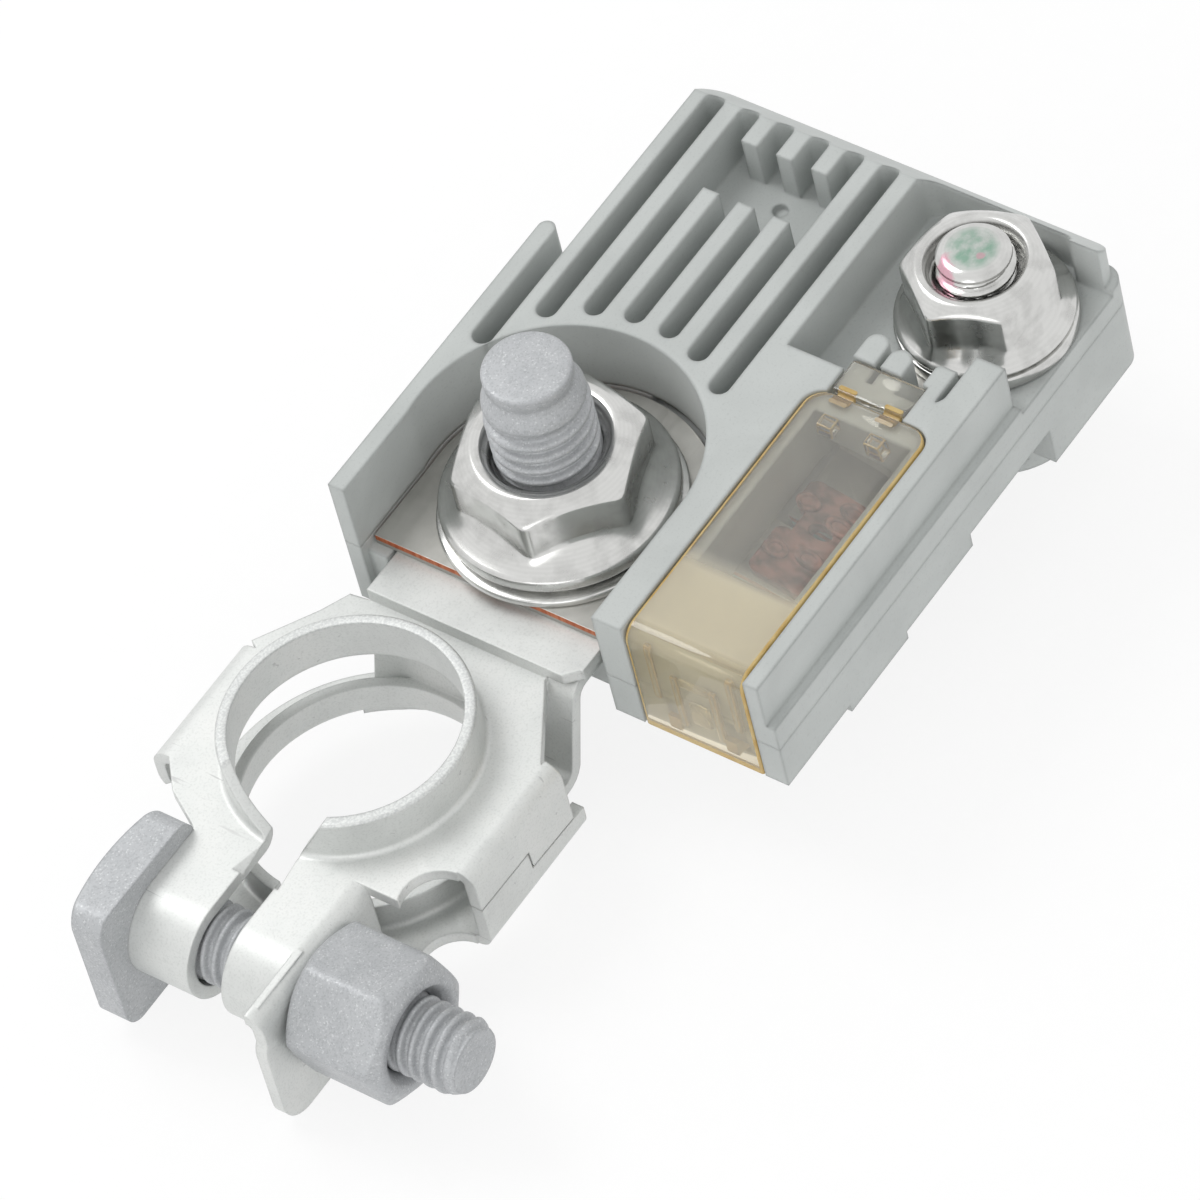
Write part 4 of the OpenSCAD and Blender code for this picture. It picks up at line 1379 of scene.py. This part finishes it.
@dataclass
class Conductors:
    """The two copper plates and the fuse element that joins them."""

    tinned: TinnedTop = TinnedTop()
    sheared: ShearedCopper = ShearedCopper()
    alloy: FuseAlloy = FuseAlloy()
    bar: Softening = Softening(0.06, segments=2)
    strip: Softening = Softening(0.08, segments=2)
    rivet_z: float = 11.27
    rivets: tuple[Pair, ...] = (
        (27.2, -20.3),
        (30.6, -20.5),
        (32.1, -20.7),
        (26.7, -18.6),
        (31.2, -18.5),
    )
    head_r: float = 0.72
    bead_r: float = 0.17
    shank_r: float = 0.42
    shank: float = 1.65

    def plate(self, node: str, faces: Material, edges: Material) -> None:
        """Dresses one plate: tinned on its faces, bare copper on its cut edges.

        Args:
            node: The CAD node.
            faces: The tinned material.
            edges: The sheared material.
        """
        mesh = self.bar.mesh(node)
        for face in mesh.polygons:
            face.material_index = 1 if abs(face.normal.z) < 0.5 else 0
        finished(mesh, node + "_tinned", "clamp", Surface.TINNED_COPPER, node, faces, edges)

    def build(self) -> None:
        """Builds and dresses the plates, the element and its rivets."""
        faces, edges, alloy = self.tinned.build(), self.sheared.build(), self.alloy.build()
        self.plate("link_plate", faces, edges)
        self.plate("load_plate", faces, edges)
        strip = self.strip.mesh("fuse_element")
        finished(strip, "fuse_strip", "clamp", Surface.FUSE_ALLOY, "fuse_element", alloy)
        sizes = {
            "Head radius": self.head_r,
            "Bead radius": self.bead_r,
            "Shank radius": self.shank_r,
            "Shank length": self.shank,
        }
        row = RivetRow().mesh([at(x, y, self.rivet_z) for x, y in self.rivets], sizes, alloy)
        heads = joined([(row, Matrix())], "element_rivets_dressed", creases=50.0)
        finished(heads, "fuse_rivets", "clamp", Surface.FUSE_ALLOY, "element_rivets", alloy)


@dataclass
class Housing:
    """The ribbed upper moulding and the tray under it."""

    finish: MouldedNylon = MouldedNylon()
    upper: Softening = Softening(0.4)
    lower: Softening = Softening(0.45)

    def build(self) -> None:
        """Builds and dresses both mouldings."""
        grey = self.finish.build()
        for name, node, rounding in (
            ("ribbed_moulding", "housing_upper", self.upper),
            ("tray_moulding", "housing_lower", self.lower),
        ):
            finished(rounding.mesh(node), name, "clamp", Surface.GREY_PLASTIC, node, grey)


@dataclass
class FuseWindow:
    """The clear lid over the fuse element, with its bending straps.

    Attributes:
        front_x: Outer face of the front leg.
        rear_x: Rear edge of the lid.
        side_y: Both sides of the lid.
        top_z: Top of the lid.
        foot_z: Foot of the front leg.
        sheet: Thickness of the top.
        leg: Thickness of the front leg.
        rib: Thickness of what stands on the inner side.
        bend_r: Radius of the bend between the two.
        corner_r: Radius of the rear corners.
        edge_r: Rounding of the edges.
        steps: Faces around a bend or a corner.
        strap_y: Where each bending strap begins.
        lug_y: Middle of each snap lug.
        hinge_x: The hinge's axis.
        ring: A strap's section, as radius about the hinge's axis and place along it.
        hinge_drop: How far the hinge's axis lies under the lid's top.
        tab_x: Front and rear of the fixed tab.
        tab_y: Both sides of the fixed tab.
    """

    front_x: float = 12.6
    rear_x: float = 37.0
    side_y: Pair = (-26.2, -16.2)
    top_z: float = 17.0
    foot_z: float = 6.4
    sheet: float = 0.94
    leg: float = 0.5
    rib: float = 0.4
    bend_r: float = 1.3
    corner_r: float = 1.5
    edge_r: float = 0.24
    steps: int = 8
    strap_y: Pair = (-19.3, -23.2)
    lug_y: Pair = (-18.8, -23.6)
    hinge_x: float = 37.15
    ring: tuple[Pair, ...] = (
        (0.5, 0.1),
        (0.5, 1.4),
        (0.6, 1.5),
        (0.75, 1.5),
        (0.85, 1.4),
        (0.85, 0.1),
        (0.75, 0),
        (0.6, 0),
    )
    hinge_drop: float = 0.02
    tab_x: Pair = (37.5, 40.4)
    tab_y: Pair = (-23.5, -17.3)
    finish: ClearMoulding = ClearMoulding()
    edge: AmberEdge = AmberEdge()

    def spine(self) -> list[tuple[float, float, float, float]]:
        """Gives the lid's run in X and Z, from its foot round the bend to its rear.

        Returns:
            Outer X and Z, then inner X and Z, of each place along the run.
        """
        x0, z1, r, steps = self.front_x, self.top_z, self.bend_r, self.steps
        run = [(x0, z, x0 + self.leg, z) for z in (self.foot_z, self.foot_z + 0.55, z1 - r)]
        for i in range(1, steps + 1):
            a = math.radians(180 - 90 * i / steps)
            inner = r - self.leg - (self.sheet - self.leg) * i / steps
            x, z, across, up = x0 + r, z1 - r, math.cos(a), math.sin(a)
            run.append((x + r * across, z + r * up, x + inner * across, z + inner * up))
        # Without a ring close behind the bend, its slope would warp the flat pane's shading
        rear = [x0 + r + 0.2]
        for i in range(steps + 1):
            ahead = self.corner_r * (1 - math.sin(math.pi / 2 * i / steps))
            rear.append(self.rear_x - ahead)
        return run + [(x, z1, x, z1 - self.sheet) for x in rear]

    def section(self, y0: float, y1: float) -> list[Pair]:
        """Gives the lid's section across.

        Args:
            y0: One side of the lid.
            y1: Its other side.

        Returns:
            Shares of its thickness from the outside, with their Y.
        """
        share = self.edge_r / self.sheet
        turns = [math.radians(30 * i) for i in range(4)]
        bend = [(1 - math.cos(turn), 1 - math.sin(turn)) for turn in turns]
        left = [(share * b, y0 + self.edge_r * a) for a, b in reversed(bend)]
        # The inner edges are rounded half as much
        under = [(1 - share * 0.5 * b, y0 + self.edge_r * 0.5 * a) for a, b in bend]
        right = [(d, y0 + y1 - y) for d, y in reversed(left + under)]
        return left + under + right

    def shell(self) -> Solid:
        """Lofts the lid along its run, with rounded edges and round rear corners.

        Returns:
            The closed solid, in metres; the faces of its rims have the second material.
        """
        rings = []
        for xo, zo, xi, zi in self.spine():
            past = max(0.0, xo - (self.rear_x - self.corner_r)) if zo > self.top_z - 0.01 else 0.0
            inset = self.corner_r - math.sqrt(max(0.0, self.corner_r**2 - past**2))
            across = self.section(self.side_y[0] + inset, self.side_y[1] - inset)
            rings.append([at(xo + (xi - xo) * s, y, zo + (zi - zo) * s) for s, y in across])
        solid = lofted(rings)
        size = len(rings[0])
        for i, face in enumerate(solid.faces):
            band, k = divmod(i, size)
            pane = k in (size // 2 - 1, size - 1) and 0 < band < len(rings) - 1
            face.material_index = 0 if pane else 1
        return solid

    def strap(self, y: float, start: float, end: float) -> Solid:
        """Lofts half of one strap about the hinge's axis.

        Args:
            y: Where the strap begins across the lid.
            start: Its first angle about the axis, in degrees.
            end: Its last angle.

        Returns:
            The closed solid, in metres.
        """
        x, z = self.hinge_x, self.top_z - self.hinge_drop
        rings = []
        for i in range(self.steps + 1):
            a = math.radians(start + (end - start) * i / self.steps)
            across, up = math.cos(a), math.sin(a)
            rings.append([at(x + r * across, y + side, z + r * up) for r, side in self.ring])
        return self.amber(lofted(rings))

    def lug(self, y: float) -> Solid:
        """Makes a snap lug behind the leg's foot.

        Args:
            y: The lug's middle across the lid.

        Returns:
            The closed solid, in metres.
        """
        x, z = self.front_x, self.foot_z
        inner = x + self.leg + 0.03
        back = [(inner, z + 0.7), (inner, z + 2.05)]
        side = [*back, (x + 1.0, z + 2.0), (x + 1.45, z + 0.9), (x + 1.0, z + 0.8)]
        return self.amber(lofted([[at(a, y + half, b) for a, b in side] for half in (-0.5, 0.5)]))

    def amber(self, solid: Solid) -> Solid:
        """Gives all of a solid's faces the second material.

        Args:
            solid: The solid.

        Returns:
            The same solid.
        """
        for face in solid.faces:
            face.material_index = 1
        return solid

    def inner_ribs(self) -> list[Solid]:
        """Makes the ribs, latch pads and stops moulded on the lid's inner side.

        Returns:
            The closed solids, with the second material on their rounded edges.
        """
        x0, x1 = self.front_x + self.leg + 0.03, self.rear_x
        y0, y1 = self.side_y
        top, low = self.top_z - self.sheet - 0.02, self.foot_z
        deep = x0 + self.rib
        # Ribs look amber unless they are seen square on, and the broad pads only at their rims
        rib, pad = 0.97, 0.9
        blocks = [
            ((x0, y1 - 1.9, low + 3.6), (deep, y1 - 1.3, top - 0.4), rib),
            ((x0, y0 + 1.3, low + 3.6), (deep, y0 + 1.9, top - 0.4), rib),
            ((x0, y1 - 6.9, low + 1.4), (deep, y1 - 6.3, low + 7.0), rib),
            ((x0, y1 - 3.7, low + 1.4), (deep, y1 - 3.1, low + 7.0), rib),
            ((x0, y1 - 6.2, low + 6.2), (deep, y1 - 3.8, low + 7.0), pad),
            ((x0, y1 - 5.9, low + 2.3), (deep, y1 - 4.3, low + 4.6), pad),
        ]
        for y in self.strap_y:
            blocks.append(((x1 - 2.5, y + 0.1, top - 1.3), (x1 - 1.4, y + 1.4, top), rib))
        solids = []
        for start, end, square in blocks:
            solid = boxed(start, end, 0.12)
            for face in solid.faces:
                face.material_index = 1 if max(abs(value) for value in face.normal) < square else 0
            solids.append(solid)
        return solids

    def build(self) -> None:
        """Builds and dresses the lid and its hinge tab."""
        pair = (self.finish.build(), self.edge.build())
        clear = Surface.CLEAR_PLASTIC
        straps = [self.strap(y, 185, 268) for y in self.strap_y]
        parts = [self.shell(), *straps, *(self.lug(y) for y in self.lug_y), *self.inner_ribs()]
        lid = joined([(part, Matrix()) for part in parts], "window_lid_dressed", creases=40.0)
        finished(lid, "clear_lid", "lid", clear, "window_lid", *pair)
        low = (self.tab_x[0], self.tab_y[0], self.top_z - self.sheet)
        plate = boxed(low, (self.tab_x[1], self.tab_y[1], self.top_z - 0.1), 0.2)
        parts = [plate, *(self.strap(y, 272, 355) for y in self.strap_y)]
        tab = joined([(part, Matrix()) for part in parts], "hinge_tab_dressed", creases=40.0)
        finished(tab, "clear_hinge_tab", "clamp", clear, "lid_hinge", *pair)


@dataclass(frozen=True)
class Lamp:
    """A round soft lamp.

    Attributes:
        name: Its name.
        place: Its middle.
        size: Its width.
        strength: How brightly it lights the object, whatever its distance.
    """

    name: str
    place: Spot
    size: float
    strength: float

    def build(self, target: Vector) -> None:
        """Hangs the lamp and turns it to a place.

        Args:
            target: The place, in metres.
        """
        light = bpy.data.lights.new(self.name, "AREA")
        light.shape = "DISK"
        light.size = self.size * MM
        lamp = bpy.data.objects.new(self.name, light)
        spot = at(*self.place)
        light.energy = self.strength * (spot - target).length ** 2
        lamp.location = spot
        lamp.rotation_euler = (target - spot).to_track_quat("-Z", "Y").to_euler()
        bpy.context.scene.collection.objects.link(lamp)


@dataclass
class Studio:
    """White product studio with the photograph's camera."""

    middle: Spot = (20.0, -8.0, 8.0)
    floor_z: float = -3.9
    floor_half: float = 900.0
    # Share of plain white in what the camera, metal and glass see of the floor
    floor_glow: float = 0.84
    paper: Paper = Paper()
    camera_place: Spot = (-275.550, -317.183, 529.447)
    right: Spot = (0.556307, -0.813792, -0.168124)
    up: Spot = (0.706604, 0.356789, 0.611075)
    back: Spot = (-0.437303, -0.458743, 0.773512)
    lens: float = 285.7525
    world_strength: float = 0.78
    lamps: tuple[Lamp, ...] = (
        Lamp("key", (0.0, 270.0, 430.0), 260.0, 2.9),
        Lamp("fill", (-330.0, -120.0, 180.0), 240.0, 1.35),
    )

    def shows_white(self, add: Adder) -> Socket:
        """Tells the rays that see the background apart from those that light the object.

        Args:
            add: Adds a node to the tree of a material or the world.

        Returns:
            One for camera, glossy and transmitted rays.
        """
        path = add("LightPath").node.outputs
        pair = add("Math", path["Is Camera Ray"], path["Is Glossy Ray"], operation="MAXIMUM")
        return add("Math", pair, path["Is Transmission Ray"], operation="MAXIMUM")

    def build_world(self) -> None:
        """Lights the object evenly and shows white behind it."""
        world = bpy.data.worlds.new("studio_white")
        bpy.context.scene.world = world
        world.use_nodes = True
        tree = world.node_tree
        add = partial(add_node, tree)
        seen = self.shows_white(add)
        strength = add("MapRange", seen, 0.0, 1.0, self.world_strength, 1.0)
        feed(tree.nodes["Background"], WHITE, strength)

    def build_floor(self) -> None:
        """Lays a pale floor that keeps the object's shadow and fades into white."""
        work = bmesh.new()
        bmesh.ops.create_grid(work, x_segments=1, y_segments=1, size=self.floor_half * MM)
        bmesh.ops.translate(work, verts=work.verts, vec=at(*self.middle[:2], self.floor_z))
        mesh = bpy.data.meshes.new("floor")
        work.to_mesh(mesh)
        work.free()
        material = self.paper.build()
        tree = material.node_tree
        add = partial(add_node, tree)
        glow = add("Emission", WHITE, 1.0)
        seen = self.shows_white(add)
        share = add("MapRange", seen, 0.0, 1.0, 0.0, self.floor_glow)
        paper = tree.nodes["Principled BSDF"].outputs[0]
        feed(tree.nodes["Material Output"], add("MixShader", share, paper, glow))
        mesh.materials.append(material)
        floor = bpy.data.objects.new("floor", mesh)
        bpy.context.scene.collection.objects.link(floor)

    def build_camera(self) -> None:
        """Sets the camera where the photograph was taken."""
        lens = bpy.data.cameras.new("camera")
        lens.lens = self.lens
        lens.sensor_width = 36.0
        lens.clip_end = 10.0
        camera = bpy.data.objects.new("camera", lens)
        pose = Matrix((self.right, self.up, self.back)).transposed().to_4x4()
        pose.translation = at(*self.camera_place)
        camera.matrix_world = pose
        bpy.context.scene.collection.objects.link(camera)
        bpy.context.scene.camera = camera
        bpy.context.scene.view_settings.view_transform = "Standard"

    def build(self) -> None:
        """Builds the whole studio."""
        self.build_world()
        self.build_floor()
        for lamp in self.lamps:
            lamp.build(at(*self.middle))
        self.build_camera()


def main() -> None:
    """Builds the sub-assemblies in order, then the studio."""
    logging.basicConfig(level=logging.INFO, format="%(message)s")
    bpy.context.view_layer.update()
    thread = ScrewThread()
    coated = ZincFlake().build()
    ClampSheet().build()
    ClampScrew().build(thread, coated)
    MainTerminal().build(thread, coated, Surface.ZINC_FLAKE)
    load = LoadTerminal()
    load.build(thread, load.marked.build(), Surface.BRIGHT_STEEL)
    Conductors().build()
    Housing().build()
    FuseWindow().build()
    Studio().build()


if __name__ == "__main__":
    main()
